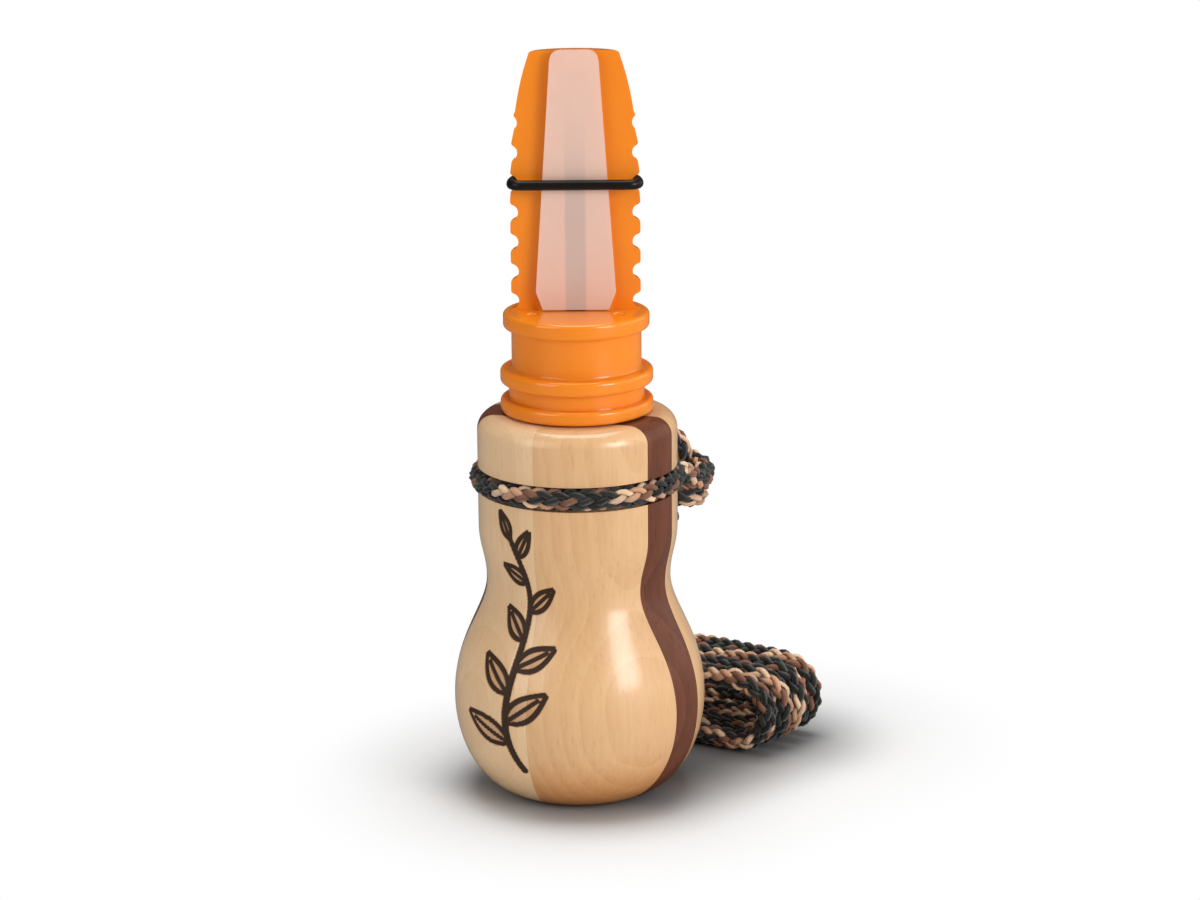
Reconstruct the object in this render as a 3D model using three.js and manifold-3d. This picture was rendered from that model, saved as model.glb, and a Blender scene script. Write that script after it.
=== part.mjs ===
// An open-reed elk call: a turned and laminated wooden barrel, a moulded tone board that
// plugs into it, a film reed held down by a rubber band, and a braided lanyard.
// Millimetres, +Z up along the barrel. The base stands on z = 0 and the reed faces -Y.
import * as THREE from 'three';
import { mergeVertices } from 'three/addons/utils/BufferGeometryUtils.js';
import Module from 'manifold-3d';

const wasm = await Module();
wasm.setup();

// Barrel outline, turned from one glued blank
const BARREL_LENGTH = 58.1;
const BASE_RADIUS = 9;
const BULB_RADIUS = 18.8;
const BULB_HEIGHT = 14.6;
const BULB_EASE = 8.9;
const WAIST_RADIUS = 13.7;
const WAIST_HEIGHT = 33;
const WAIST_EASE = 5;
const NECK_RADIUS = 14.8;
const NECK_FOOT = 41;
const NECK_EASE = 3.2;
const SHOULDER_RADIUS = 2.6;

// Barrel bores
const MOUTH_RADIUS = 7;
const MOUTH_DEPTH = 5;
const THROAT_RADIUS = 5;
const PLUG_BORE_RADIUS = 7.95;
const PLUG_BORE_DEPTH = 19;

// Glued blank: two front maple sticks, a walnut strip and a back maple board
const BLANK_TURN = THREE.MathUtils.degToRad(-20);
const BACK_BOARD_FACE = 0.2;
const WALNUT_THICKNESS = 6.35;
const FRONT_SEAM = -1.4;
const GLUE_LINE = 0.1;

// Tone board: plug, two flanges, neck, collar and the half-round board above it
const PLUG_LENGTH = 17;
const PLUG_CLEARANCE = 0.3;
const PLUG_CHAMFER = 0.8;
const SEAT_GAP = 0.2;
const FLANGE_RADIUS = 11.25;
const LOWER_FLANGE_THICKNESS = 2.1;
const FLANGE_GROOVE_RADIUS = 10;
const FLANGE_GROOVE_WIDTH = 2.2;
const UPPER_FLANGE_THICKNESS = 2.2;
const STEM_RADIUS = 9.55;
const STEM_LENGTH = 6;
const COLLAR_RADIUS = 10.75;
const COLLAR_THICKNESS = 2.4;
const RIM_ROUND = 0.6;
const BOARD_RADIUS = 9.5;
const BOARD_LENGTH = 38;
const BOARD_STRAIGHT = 12;
const BOARD_TAPER = 1.28;
const OGIVE_DROP = 1.78;
const TIP_ROUND = 0.7;
const TIP_RELIEF = 14;
const TIP_BACK_SHARE = 0.56;
const LAND_FACE = 0.5;
const TABLE_HEIGHT = 1;
const TABLE_INSET = 0.35;
const LAY_DROP = 1;
const LAY_BELOW_BAND = 3;
const CHANNEL_WIDTH = 3;
const CHANNEL_DEPTH = 3.4;
const CHANNEL_TOP_FROM_TIP = 6;
const CHANNEL_SINK = 6;
const AIR_BORE_RADIUS = 3;
const AIR_BORE_RISE = 3;

// Band notches round the back of the board
const NOTCH_COUNT = 7;
const NOTCH_PITCH = 4.38;
const NOTCH_RADIUS = 1.15;
const NOTCH_FLOOR = 8.35;
const FIRST_NOTCH = 1.3;
const BELOW_BAND_COUNT = 4;

// Reed film and the rubber band over it
const REED_THICKNESS = 0.35;
const REED_GAP = 0.1;
const REED_FOOT_GAP = 0.2;
const REED_OVERHANG = 0.3;
const REED_FOOT_WIDTH = 9.7;
const REED_WIDE_WIDTH = 11.7;
const REED_WIDE_RISE = 2.7;
const REED_TIP_WIDTH = 7.2;
const REED_TIP_FLAT = 3.8;
const REED_TIP_ROUND = 2.3;
const REED_SPLIT = 0.3;
const BAND_DIAMETER = 1.5;
const BAND_GAP = 0.1;
const BAND_CORNER = 1.4;

// Rubber seals on the plug
const SEAL_DIAMETER = 1.7;
const SEAL_GAP = 0.1;
const SEAL_SIDE_GAP = 0.2;
const SEAL_DEPTHS = [4.5, 12];

// Braided lanyard: a loop in the barrel's groove, a wrapped knot, a fall and a hank
const CORD_DIAMETER = 3.5;
const CORD_SINK = 0.35;
const CORD_HEIGHT = 48.3;
const CORD_CLEARANCE = 0.3;
const JOINT_GAP = 0.3;
const KNOT_GAP = 0.45;
const KNOT_TURNS = 1.85;
const KNOT_TAIL = 0.8;
const KNOT_LEAD = 0.2;
const KNOT_TOP = new THREE.Vector3(15.43, 14.03, 46.13);
const KNOT_FOOT = new THREE.Vector3(12.2, 17.8, 33.2);
const KNOT_START = THREE.MathUtils.degToRad(-19);
const LOOP_FROM = 90;
const LOOP_TO = 350;
const LOOP_EXIT = new THREE.Vector3(7.2, 15.3, 49.5);
const LOOP_EXIT_WAY = new THREE.Vector3(1, 0.05, 0.2).normalize();
const FALL_BEND = 8.5;
const HANK_CENTRE = new THREE.Vector2(11.7, 30.1);
const HANK_TURN = THREE.MathUtils.degToRad(-30);
const HANK_LENGTH = 56;
const HANK_FOLD = 4.9;
const HANK_LAYERS = 5;
const HANK_GAP = 0.45;
const HANK_SLIP = 2;
const HANK_START = -8.5;
const HANK_TAIL_FROM = -3;
const HANK_TAIL = [[1, 4.4], [5, 3.9], [18, 3.9]];
const WAIST_PLACE = -10.5;
const WAIST_REACH = 9;
const WAIST_DRAW = 2.8;
const TIE_DIAMETER = 2;
const TIE_GAP = 0.3;

// Facets
const TURN_STEPS = 48;
const WRAP_STEPS = 24;
const BAND_STEPS = 64;
const TIE_STEPS = 32;
const LOOP_STEP = 13;
const LOOK_AHEAD = 0.01;
const NOTCH_STEPS = 3;
const RUN_STEPS = 6;
const FOLD_STEPS = 8;
const CORNER_STEPS = 4;
const CURVE_STEPS = 6;
const RIM_STEPS = 2;
const CORD_SIDES = 8;
const HANK_SIDES = 6;
const SEAL_SIDES = 6;
const HANK_STEP = 4;
const WELD = 1e-3;
const FAR = 200;

// Heights and depths that follow from the sizes above
const seat = BARREL_LENGTH + SEAT_GAP;
const plugRadius = PLUG_BORE_RADIUS - PLUG_CLEARANCE;
const grooveBottom = seat + LOWER_FLANGE_THICKNESS;
const grooveTop = grooveBottom + FLANGE_GROOVE_WIDTH;
const stemFoot = grooveTop + UPPER_FLANGE_THICKNESS;
const collarFoot = stemFoot + STEM_LENGTH;
const collarTop = collarFoot + COLLAR_THICKNESS;
const boardTip = collarTop + BOARD_LENGTH;
const tableFace = LAND_FACE - TABLE_HEIGHT;
const bandHeight = collarTop + FIRST_NOTCH + BELOW_BAND_COUNT * NOTCH_PITCH;
const channelFoot = collarTop - CHANNEL_SINK;
const reedBack = tableFace - REED_GAP;
const reedFront = reedBack - REED_THICKNESS;
const reedFoot = collarTop + REED_FOOT_GAP;
const reedTip = boardTip + REED_OVERHANG;
const cordRadius = CORD_DIAMETER / 2;
const cordRing = NECK_RADIUS - CORD_SINK;
const hankPitch = CORD_DIAMETER + HANK_GAP;
const hankMiddle = ((HANK_LAYERS - 1) * hankPitch) / 2;
const hankReach = HANK_LENGTH / 2 - HANK_FOLD - cordRadius;
const walnutFace = BACK_BOARD_FACE + WALNUT_THICKNESS;

const maplePale = new THREE.MeshStandardMaterial({ color: 0xe6c39a, roughness: 0.35 });
const mapleGold = new THREE.MeshStandardMaterial({ color: 0xdcb27e, roughness: 0.35 });
const walnut = new THREE.MeshStandardMaterial({ color: 0x6b4029, roughness: 0.4 });
const orangePlastic = new THREE.MeshStandardMaterial({ color: 0xf4801f, roughness: 0.4 });
const reedFilm = new THREE.MeshStandardMaterial({ color: 0xe9c3b0, roughness: 0.45 });
const blackRubber = new THREE.MeshStandardMaterial({ color: 0x231d18, roughness: 0.55 });
const camoCord = new THREE.MeshStandardMaterial({ color: 0x6d5b45, roughness: 0.9 });
const tieCord = new THREE.MeshStandardMaterial({ color: 0x2a2b26, roughness: 0.9 });

// Solids: welded, without collapsed triangles, facing outwards
function solid(geometry) {
  const bare = geometry.clone();
  bare.deleteAttribute('normal');
  bare.deleteAttribute('uv');
  const welded = mergeVertices(bare, WELD);
  const place = welded.attributes.position;
  const corner = [0, 1, 2].map(() => new THREE.Vector3());
  const kept = [];
  let volume = 0;
  for (let i = 0; i < welded.index.count; i += 3) {
    const triangle = [0, 1, 2].map((k) => welded.index.getX(i + k));
    if (new Set(triangle).size === 3) {
      kept.push(triangle);
      triangle.forEach((vertex, k) => corner[k].fromBufferAttribute(place, vertex));
      volume += corner[0].dot(corner[1].clone().cross(corner[2]));
    }
  }
  const faces = kept.flatMap(([a, b, c]) => (volume > 0 ? [a, b, c] : [a, c, b]));
  return new wasm.Manifold(new wasm.Mesh({
    numProp: 3,
    vertProperties: new Float32Array(place.array),
    triVerts: new Uint32Array(faces),
  }));
}

function geometryOf(body) {
  const mesh = body.getMesh();
  const geometry = new THREE.BufferGeometry();
  geometry.setAttribute('position', new THREE.BufferAttribute(mesh.vertProperties, 3));
  geometry.setIndex(new THREE.BufferAttribute(mesh.triVerts, 1));
  geometry.computeVertexNormals();
  return geometry;
}

function lathe(profile) {
  return new THREE.LatheGeometry(profile, TURN_STEPS).rotateX(Math.PI / 2);
}

function turned(profile) {
  return solid(lathe(profile));
}

function block(low, high) {
  const size = high.clone().sub(low);
  const middle = low.clone().add(high).multiplyScalar(0.5);
  const box = new THREE.BoxGeometry(size.x, size.y, size.z);
  return solid(box.translate(middle.x, middle.y, middle.z));
}

function prism(shape, depth) {
  return new THREE.ExtrudeGeometry(shape, { depth, bevelEnabled: false, curveSegments: CURVE_STEPS });
}

function place(parent, name, geometry, material) {
  const mesh = new THREE.Mesh(geometry, material);
  mesh.name = name;
  parent.add(mesh);
}

// Cords: a round section drawn along a curve
function cordTube(curve, diameter, sides, step) {
  const section = new THREE.Shape();
  for (let i = 0; i < sides; i += 1) {
    const angle = (2 * Math.PI * (i + 0.5)) / sides;
    const corner = [Math.cos(angle) * diameter / 2, Math.sin(angle) * diameter / 2];
    if (i === 0) {
      section.moveTo(...corner);
    } else {
      section.lineTo(...corner);
    }
  }
  const steps = Math.ceil(curve.getLength() / step);
  const tube = new THREE.ExtrudeGeometry(section, { steps, extrudePath: curve });
  return geometryOf(solid(tube));
}

function printLeastGap(name, curve, diameter) {
  const points = curve.getSpacedPoints(Math.ceil(curve.getLength()));
  const apart = Math.ceil(diameter * 2);
  let least = Infinity;
  points.forEach((point, i) => {
    for (let j = i + apart; j < points.length; j += 1) {
      least = Math.min(least, point.distanceTo(points[j]) - diameter);
    }
  });
  console.log(`${name}: length ${curve.getLength().toFixed(1)} mm, least gap ${least.toFixed(2)} mm`);
}

// Barrel
function barrelProfile() {
  const groove = cordRadius + CORD_CLEARANCE;
  const lip = Math.acos((NECK_RADIUS - cordRing) / groove);
  const shoulder = NECK_RADIUS - SHOULDER_RADIUS;
  const path = new THREE.Path();
  path.moveTo(MOUTH_RADIUS, 0);
  path.lineTo(THROAT_RADIUS, MOUTH_DEPTH);
  path.lineTo(THROAT_RADIUS, BARREL_LENGTH - PLUG_BORE_DEPTH);
  path.lineTo(PLUG_BORE_RADIUS, BARREL_LENGTH - PLUG_BORE_DEPTH);
  path.lineTo(PLUG_BORE_RADIUS, BARREL_LENGTH);
  path.lineTo(shoulder, BARREL_LENGTH);
  path.absarc(shoulder, BARREL_LENGTH - SHOULDER_RADIUS, SHOULDER_RADIUS, Math.PI / 2, 0, true);
  path.absarc(cordRing, CORD_HEIGHT, groove, lip, 2 * Math.PI - lip, false);
  path.lineTo(NECK_RADIUS, NECK_FOOT);
  path.bezierCurveTo(NECK_RADIUS, NECK_FOOT - NECK_EASE, WAIST_RADIUS, WAIST_HEIGHT + NECK_EASE,
    WAIST_RADIUS, WAIST_HEIGHT);
  path.bezierCurveTo(WAIST_RADIUS, WAIST_HEIGHT - WAIST_EASE, BULB_RADIUS, BULB_HEIGHT + BULB_EASE,
    BULB_RADIUS, BULB_HEIGHT);
  path.absellipse(BASE_RADIUS, BULB_HEIGHT, BULB_RADIUS - BASE_RADIUS, BULB_HEIGHT, 0, -Math.PI / 2, true);
  path.lineTo(MOUTH_RADIUS, 0);
  return path.getPoints(CURVE_STEPS);
}

function addBarrel(parent) {
  const barrel = turned(barrelProfile());
  const half = GLUE_LINE / 2;
  const piece = (xLow, xHigh, yLow, yHigh) => geometryOf(barrel.intersect(
    block(new THREE.Vector3(xLow, yLow, -FAR), new THREE.Vector3(xHigh, yHigh, FAR)),
  ));
  const blank = new THREE.Group();
  blank.rotation.z = BLANK_TURN;
  place(blank, 'barrel_front_left_maple', piece(-FAR, FRONT_SEAM - half, -FAR, -walnutFace - half),
    maplePale);
  place(blank, 'barrel_front_right_maple', piece(FRONT_SEAM + half, FAR, -FAR, -walnutFace - half),
    mapleGold);
  place(blank, 'barrel_walnut_strip', piece(-FAR, FAR, half - walnutFace, -half - BACK_BOARD_FACE), walnut);
  place(blank, 'barrel_back_maple', piece(-FAR, FAR, half - BACK_BOARD_FACE, FAR), mapleGold);
  parent.add(blank);
}

// Tone board
function rim(path, foot, top, radius, nextRadius) {
  const inner = radius - RIM_ROUND;
  path.lineTo(inner, foot);
  path.absarc(inner, foot + RIM_ROUND, RIM_ROUND, -Math.PI / 2, 0, false);
  path.absarc(inner, top - RIM_ROUND, RIM_ROUND, 0, Math.PI / 2, false);
  path.lineTo(nextRadius, top);
}

function insertProfile() {
  const foot = seat - PLUG_LENGTH;
  const sealFloor = PLUG_BORE_RADIUS - 2 * SEAL_GAP - SEAL_DIAMETER;
  const sealReach = SEAL_DIAMETER / 2 + SEAL_SIDE_GAP;
  const path = new THREE.Path();
  path.moveTo(AIR_BORE_RADIUS, foot);
  path.lineTo(plugRadius - PLUG_CHAMFER, foot);
  path.lineTo(plugRadius, foot + PLUG_CHAMFER);
  for (const depth of [...SEAL_DEPTHS].sort((a, b) => b - a)) {
    path.lineTo(plugRadius, seat - depth - sealReach);
    path.lineTo(sealFloor, seat - depth - sealReach);
    path.lineTo(sealFloor, seat - depth + sealReach);
    path.lineTo(plugRadius, seat - depth + sealReach);
  }
  path.lineTo(plugRadius, seat);
  rim(path, seat, grooveBottom, FLANGE_RADIUS, FLANGE_GROOVE_RADIUS);
  path.lineTo(FLANGE_GROOVE_RADIUS, grooveTop);
  rim(path, grooveTop, stemFoot, FLANGE_RADIUS, STEM_RADIUS);
  path.lineTo(STEM_RADIUS, collarFoot);
  rim(path, collarFoot, collarTop, COLLAR_RADIUS, 0);
  path.lineTo(0, channelFoot + AIR_BORE_RISE);
  path.lineTo(AIR_BORE_RADIUS, channelFoot + AIR_BORE_RISE);
  path.lineTo(AIR_BORE_RADIUS, foot);
  return path.getPoints(RIM_STEPS);
}

// Radius of the board's bullet outline at a height
function boardRadiusAt(height) {
  const share = Math.max(0, height - collarTop - BOARD_STRAIGHT) / (BOARD_LENGTH - BOARD_STRAIGHT);
  return BOARD_RADIUS - BOARD_TAPER * share ** 2 - OGIVE_DROP * share ** 4;
}

function boardProfile() {
  const root = collarFoot + COLLAR_THICKNESS / 2;
  const points = [new THREE.Vector2(0, root), new THREE.Vector2(BOARD_RADIUS, root)];
  for (let n = 0; n < NOTCH_COUNT; n += 1) {
    const centre = collarTop + FIRST_NOTCH + n * NOTCH_PITCH;
    for (let k = -NOTCH_STEPS; k <= NOTCH_STEPS; k += 1) {
      const angle = (k * Math.PI) / (2 * NOTCH_STEPS);
      const height = centre + NOTCH_RADIUS * Math.sin(angle);
      const depth = NOTCH_FLOOR + NOTCH_RADIUS * (1 - Math.cos(angle));
      points.push(new THREE.Vector2(Math.min(depth, boardRadiusAt(height)), height));
    }
    points.push(new THREE.Vector2(boardRadiusAt(centre + NOTCH_PITCH / 2), centre + NOTCH_PITCH / 2));
  }
  const shoulder = boardTip - TIP_ROUND;
  const last = points.at(-1).y;
  for (let k = 1; k <= CURVE_STEPS; k += 1) {
    const height = last + ((shoulder - last) * k) / CURVE_STEPS;
    points.push(new THREE.Vector2(boardRadiusAt(height), height));
  }
  const edge = boardRadiusAt(shoulder) - TIP_ROUND;
  for (let k = 1; k <= RIM_STEPS; k += 1) {
    const angle = (k * Math.PI) / (2 * RIM_STEPS);
    const height = shoulder + TIP_ROUND * Math.sin(angle);
    points.push(new THREE.Vector2(edge + TIP_ROUND * Math.cos(angle), height));
  }
  points.push(new THREE.Vector2(0, boardTip));
  return points;
}

// The board's back flattens towards the tip: the share of its depth that is left at a height
function backShare(height) {
  const rise = Math.max(0, height - boardTip + TIP_RELIEF) / TIP_RELIEF;
  return 1 - (1 - TIP_BACK_SHARE) * rise ** 2;
}

function boardSolid() {
  const geometry = lathe(boardProfile());
  const place = geometry.attributes.position;
  for (let i = 0; i < place.count; i += 1) {
    place.setY(i, place.getY(i) * backShare(place.getZ(i)));
  }
  return solid(geometry);
}

// Reed outline in X and Z, drawn in from the true edge by an inset
function reedShape(foot, tip, inset) {
  const wide = REED_WIDE_WIDTH / 2 - inset;
  const side = REED_TIP_WIDTH / 2 - inset;
  const base = REED_FOOT_WIDTH / 2 - inset;
  const flat = REED_TIP_FLAT / 2 - inset;
  const shape = new THREE.Shape();
  shape.moveTo(-base, foot);
  shape.lineTo(base, foot);
  shape.lineTo(wide, foot + REED_WIDE_RISE);
  shape.lineTo(side, tip - REED_TIP_ROUND);
  shape.quadraticCurveTo(side, tip, flat, tip);
  shape.lineTo(-flat, tip);
  shape.quadraticCurveTo(-side, tip, -side, tip - REED_TIP_ROUND);
  shape.lineTo(-wide, foot + REED_WIDE_RISE);
  return shape;
}

// A shape in X and Z, made solid from one depth in Y to another
function upright(shape, near, far) {
  return solid(prism(shape, far - near).rotateX(Math.PI / 2).translate(0, far, 0));
}

// The raised table that the reed lies on, its face falling away towards the tip
function tableSolid() {
  const layStart = bandHeight - LAY_BELOW_BAND;
  const back = LAND_FACE + TABLE_HEIGHT + LAY_DROP;
  const side = new THREE.Shape();
  side.moveTo(back, collarFoot);
  side.lineTo(tableFace, collarFoot);
  side.lineTo(tableFace, layStart);
  for (let k = 1; k <= CURVE_STEPS; k += 1) {
    const share = k / CURVE_STEPS;
    side.lineTo(tableFace + LAY_DROP * share ** 2, layStart + (boardTip - layStart) * share);
  }
  side.lineTo(back, boardTip);
  const turn = new THREE.Matrix4().makeBasis(
    new THREE.Vector3(0, 1, 0), new THREE.Vector3(0, 0, 1), new THREE.Vector3(1, 0, 0),
  );
  const sweep = prism(side, REED_WIDE_WIDTH).translate(0, 0, -REED_WIDE_WIDTH / 2).applyMatrix4(turn);
  const outline = reedShape(collarFoot, boardTip, TABLE_INSET);
  return solid(sweep).intersect(upright(outline, tableFace - LAY_DROP, back + LAY_DROP));
}

function addToneBoard(parent) {
  const halfChannel = CHANNEL_WIDTH / 2;
  const behindFace = block(new THREE.Vector3(-FAR, LAND_FACE, -FAR), new THREE.Vector3(FAR, FAR, FAR));
  const channel = block(
    new THREE.Vector3(-halfChannel, reedBack, channelFoot),
    new THREE.Vector3(halfChannel, tableFace + CHANNEL_DEPTH, boardTip - CHANNEL_TOP_FROM_TIP),
  );
  const board = boardSolid().intersect(behindFace);
  const body = turned(insertProfile()).add(board).add(tableSolid()).subtract(channel);
  place(parent, 'tone_board', geometryOf(body), orangePlastic);
}

// Reed, parted under the band where its free blade starts to bend
function addReed(parent) {
  const film = upright(reedShape(reedFoot, reedTip, 0), reedFront, reedBack);
  const half = REED_SPLIT / 2;
  const below = block(new THREE.Vector3(-FAR, -FAR, -FAR), new THREE.Vector3(FAR, FAR, bandHeight - half));
  const above = block(new THREE.Vector3(-FAR, -FAR, bandHeight + half), new THREE.Vector3(FAR, FAR, FAR));
  place(parent, 'reed_heel', geometryOf(film.intersect(below)), reedFilm);
  place(parent, 'reed_blade', geometryOf(film.intersect(above)), reedFilm);
}

// The rubber band: straight over the reed, round the two front corners and the back
function addReedBand(parent) {
  const radius = NOTCH_FLOOR + BAND_GAP + BAND_DIAMETER / 2;
  const front = reedFront - BAND_GAP - BAND_DIAMETER / 2;
  const points = [];
  for (let k = 0; k <= WRAP_STEPS; k += 1) {
    const angle = (Math.PI * k) / WRAP_STEPS;
    points.push(new THREE.Vector3(radius * Math.cos(angle), radius * Math.sin(angle), bandHeight));
  }
  for (const side of [-1, 1]) {
    for (let k = 0; k <= CORNER_STEPS; k += 1) {
      const angle = (Math.PI * (side < 0 ? k : CORNER_STEPS - k)) / (2 * CORNER_STEPS);
      const x = side * (radius - BAND_CORNER + BAND_CORNER * Math.cos(angle));
      const y = front + BAND_CORNER - BAND_CORNER * Math.sin(angle);
      points.push(new THREE.Vector3(x, y, bandHeight));
    }
  }
  const loop = new THREE.CatmullRomCurve3(points, true, 'centripetal');
  const tube = new THREE.TubeGeometry(loop, BAND_STEPS, BAND_DIAMETER / 2, CORD_SIDES, true);
  place(parent, 'reed_band', geometryOf(solid(tube)), blackRubber);
}

function addPlugSeals(parent) {
  const ringRadius = PLUG_BORE_RADIUS - SEAL_GAP - SEAL_DIAMETER / 2;
  const names = ['plug_seal_upper', 'plug_seal_lower'];
  SEAL_DEPTHS.forEach((depth, i) => {
    const ring = new THREE.TorusGeometry(ringRadius, SEAL_DIAMETER / 2, SEAL_SIDES, TURN_STEPS);
    place(parent, names[i], geometryOf(solid(ring.translate(0, 0, seat - depth))), blackRubber);
  });
}

// Lanyard
function knotFrame() {
  const up = KNOT_TOP.clone().sub(KNOT_FOOT).normalize();
  const right = new THREE.Vector3(1, 0, 0).addScaledVector(up, -up.x).normalize();
  const away = up.clone().cross(right);
  return { up, right, away };
}

// Point on the knot's wraps, by the angle turned from the first one
function knotPoint(turn) {
  const { up, right, away } = knotFrame();
  const radius = CORD_DIAMETER + KNOT_GAP;
  const drop = ((CORD_DIAMETER + KNOT_GAP) * turn) / (2 * Math.PI);
  const angle = KNOT_START + turn;
  return KNOT_TOP.clone().addScaledVector(up, -drop)
    .addScaledVector(right, radius * Math.cos(angle)).addScaledVector(away, radius * Math.sin(angle));
}

function addLoopAndKnot(parent) {
  const first = knotPoint(0);
  const ahead = knotPoint(LOOK_AHEAD).sub(first).normalize();
  const loop = [];
  for (let degrees = LOOP_FROM; degrees <= LOOP_TO; degrees += LOOP_STEP) {
    const angle = THREE.MathUtils.degToRad(degrees);
    loop.push(new THREE.Vector3(cordRing * Math.cos(angle), cordRing * Math.sin(angle), CORD_HEIGHT));
  }
  loop.unshift(LOOP_EXIT.clone().addScaledVector(LOOP_EXIT_WAY, -CORD_DIAMETER));
  loop.unshift(LOOP_EXIT);
  loop.push(new THREE.Vector3(14.95, 2, CORD_HEIGHT));
  loop.push(first.clone().addScaledVector(ahead, -CORD_DIAMETER - JOINT_GAP));
  loop.push(first.clone().addScaledVector(ahead, -JOINT_GAP));
  const loopCurve = new THREE.CatmullRomCurve3(loop, false, 'centripetal');
  place(parent, 'lanyard_loop', cordTube(loopCurve, CORD_DIAMETER, CORD_SIDES, CORD_DIAMETER), camoCord);

  const wraps = [];
  const wrapSteps = Math.round(KNOT_TURNS * WRAP_STEPS);
  for (let k = 0; k <= wrapSteps; k += 1) {
    wraps.push(knotPoint((2 * Math.PI * k) / WRAP_STEPS));
  }
  const last = wraps.at(-1);
  const onward = last.clone().sub(wraps.at(-2)).normalize();
  wraps.push(last.clone().addScaledVector(onward, KNOT_TAIL));
  const wrapCurve = new THREE.CatmullRomCurve3(wraps, false, 'centripetal');
  printLeastGap('lanyard_knot', wrapCurve, CORD_DIAMETER);
  place(parent, 'lanyard_knot', cordTube(wrapCurve, CORD_DIAMETER, HANK_SIDES, CORD_DIAMETER / 3), camoCord);
}

// Point of the hank's waisted run. Its loops stand on edge, one behind another in depth
function hankPoint(along, across, depth) {
  const near = Math.exp(-(((along - WAIST_PLACE) / WAIST_REACH) ** 2));
  const drawn = across - Math.sign(across) * WAIST_DRAW * near;
  const flat = new THREE.Vector2(along, hankMiddle - depth);
  flat.rotateAround(new THREE.Vector2(), HANK_TURN).add(HANK_CENTRE);
  return new THREE.Vector3(flat.x, flat.y, cordRadius + HANK_FOLD - drawn);
}

// Where a layer's outer fold starts: each loop has slipped back from the one behind it
function foldStart(layer) {
  return hankReach - HANK_SLIP * (layer / (HANK_LAYERS - 1)) ** 2;
}

// Share of one layer that the upper run still has to move back at a place along the hank
function dropShare(layer, along) {
  const start = foldStart(Math.min(layer + 1, HANK_LAYERS - 1));
  return (along + hankReach) / (start + hankReach);
}

// Each loop moves back to the next along its upper run, and the tail ends inside the loops
function hankPoints() {
  const points = [];
  for (let layer = HANK_LAYERS - 1; layer >= 0; layer -= 1) {
    const depth = layer * hankPitch;
    const outer = foldStart(layer);
    const from = layer === HANK_LAYERS - 1 ? HANK_START : foldStart(layer + 1);
    for (let k = 0; k < RUN_STEPS; k += 1) {
      const along = from + ((-hankReach - from) * k) / RUN_STEPS;
      points.push(hankPoint(along, -HANK_FOLD, depth + hankPitch * dropShare(layer, along)));
    }
    for (let k = 0; k < FOLD_STEPS; k += 1) {
      const angle = (Math.PI * k) / FOLD_STEPS;
      const along = -hankReach - HANK_FOLD * Math.sin(angle);
      points.push(hankPoint(along, -HANK_FOLD * Math.cos(angle), depth));
    }
    const to = layer === 0 ? HANK_TAIL_FROM : outer;
    for (let k = 0; k < RUN_STEPS; k += 1) {
      const along = -hankReach + ((hankReach + to) * k) / RUN_STEPS;
      points.push(hankPoint(along, HANK_FOLD, depth));
    }
    for (let k = 0; k < FOLD_STEPS && layer > 0; k += 1) {
      const angle = (Math.PI * k) / FOLD_STEPS;
      points.push(hankPoint(outer + HANK_FOLD * Math.sin(angle), HANK_FOLD * Math.cos(angle), depth));
    }
  }
  HANK_TAIL.forEach(([along, across]) => points.push(hankPoint(along, across, 0)));
  return points;
}

function addFallAndHank(parent) {
  const { up } = knotFrame();
  const hank = hankPoints();
  const into = hank[1].clone().sub(hank[0]).normalize();
  const bend = [90, 67.5, 45, 22.5].map((degrees) => {
    const angle = THREE.MathUtils.degToRad(degrees);
    return hank[0].clone()
      .addScaledVector(into, -JOINT_GAP - CORD_DIAMETER - FALL_BEND * Math.sin(angle))
      .add(new THREE.Vector3(0, 0, FALL_BEND * (1 - Math.cos(angle))));
  });
  const fall = [
    LOOP_EXIT.clone().addScaledVector(LOOP_EXIT_WAY, JOINT_GAP),
    LOOP_EXIT.clone().addScaledVector(LOOP_EXIT_WAY, JOINT_GAP + CORD_DIAMETER),
    new THREE.Vector3(14.3, 14.5, 50.3),
    new THREE.Vector3(15.7, 13.9, 48.5),
    KNOT_TOP.clone().addScaledVector(up, KNOT_LEAD),
    KNOT_TOP.clone().lerp(KNOT_FOOT, 0.5),
    KNOT_FOOT,
    new THREE.Vector3(11.05, 19, 28.4),
    new THREE.Vector3(10.2, 19.5, 23.2),
    ...bend,
    hank[0].clone().addScaledVector(into, -JOINT_GAP - CORD_DIAMETER),
    hank[0].clone().addScaledVector(into, -JOINT_GAP),
  ];
  const fallCurve = new THREE.CatmullRomCurve3(fall, false, 'centripetal');
  place(parent, 'lanyard_fall', cordTube(fallCurve, CORD_DIAMETER, CORD_SIDES, CORD_DIAMETER), camoCord);

  const hankCurve = new THREE.CatmullRomCurve3(hank, false, 'centripetal');
  printLeastGap('lanyard_hank', hankCurve, CORD_DIAMETER);
  place(parent, 'lanyard_hank', cordTube(hankCurve, CORD_DIAMETER, HANK_SIDES, HANK_STEP), camoCord);
}

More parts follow.
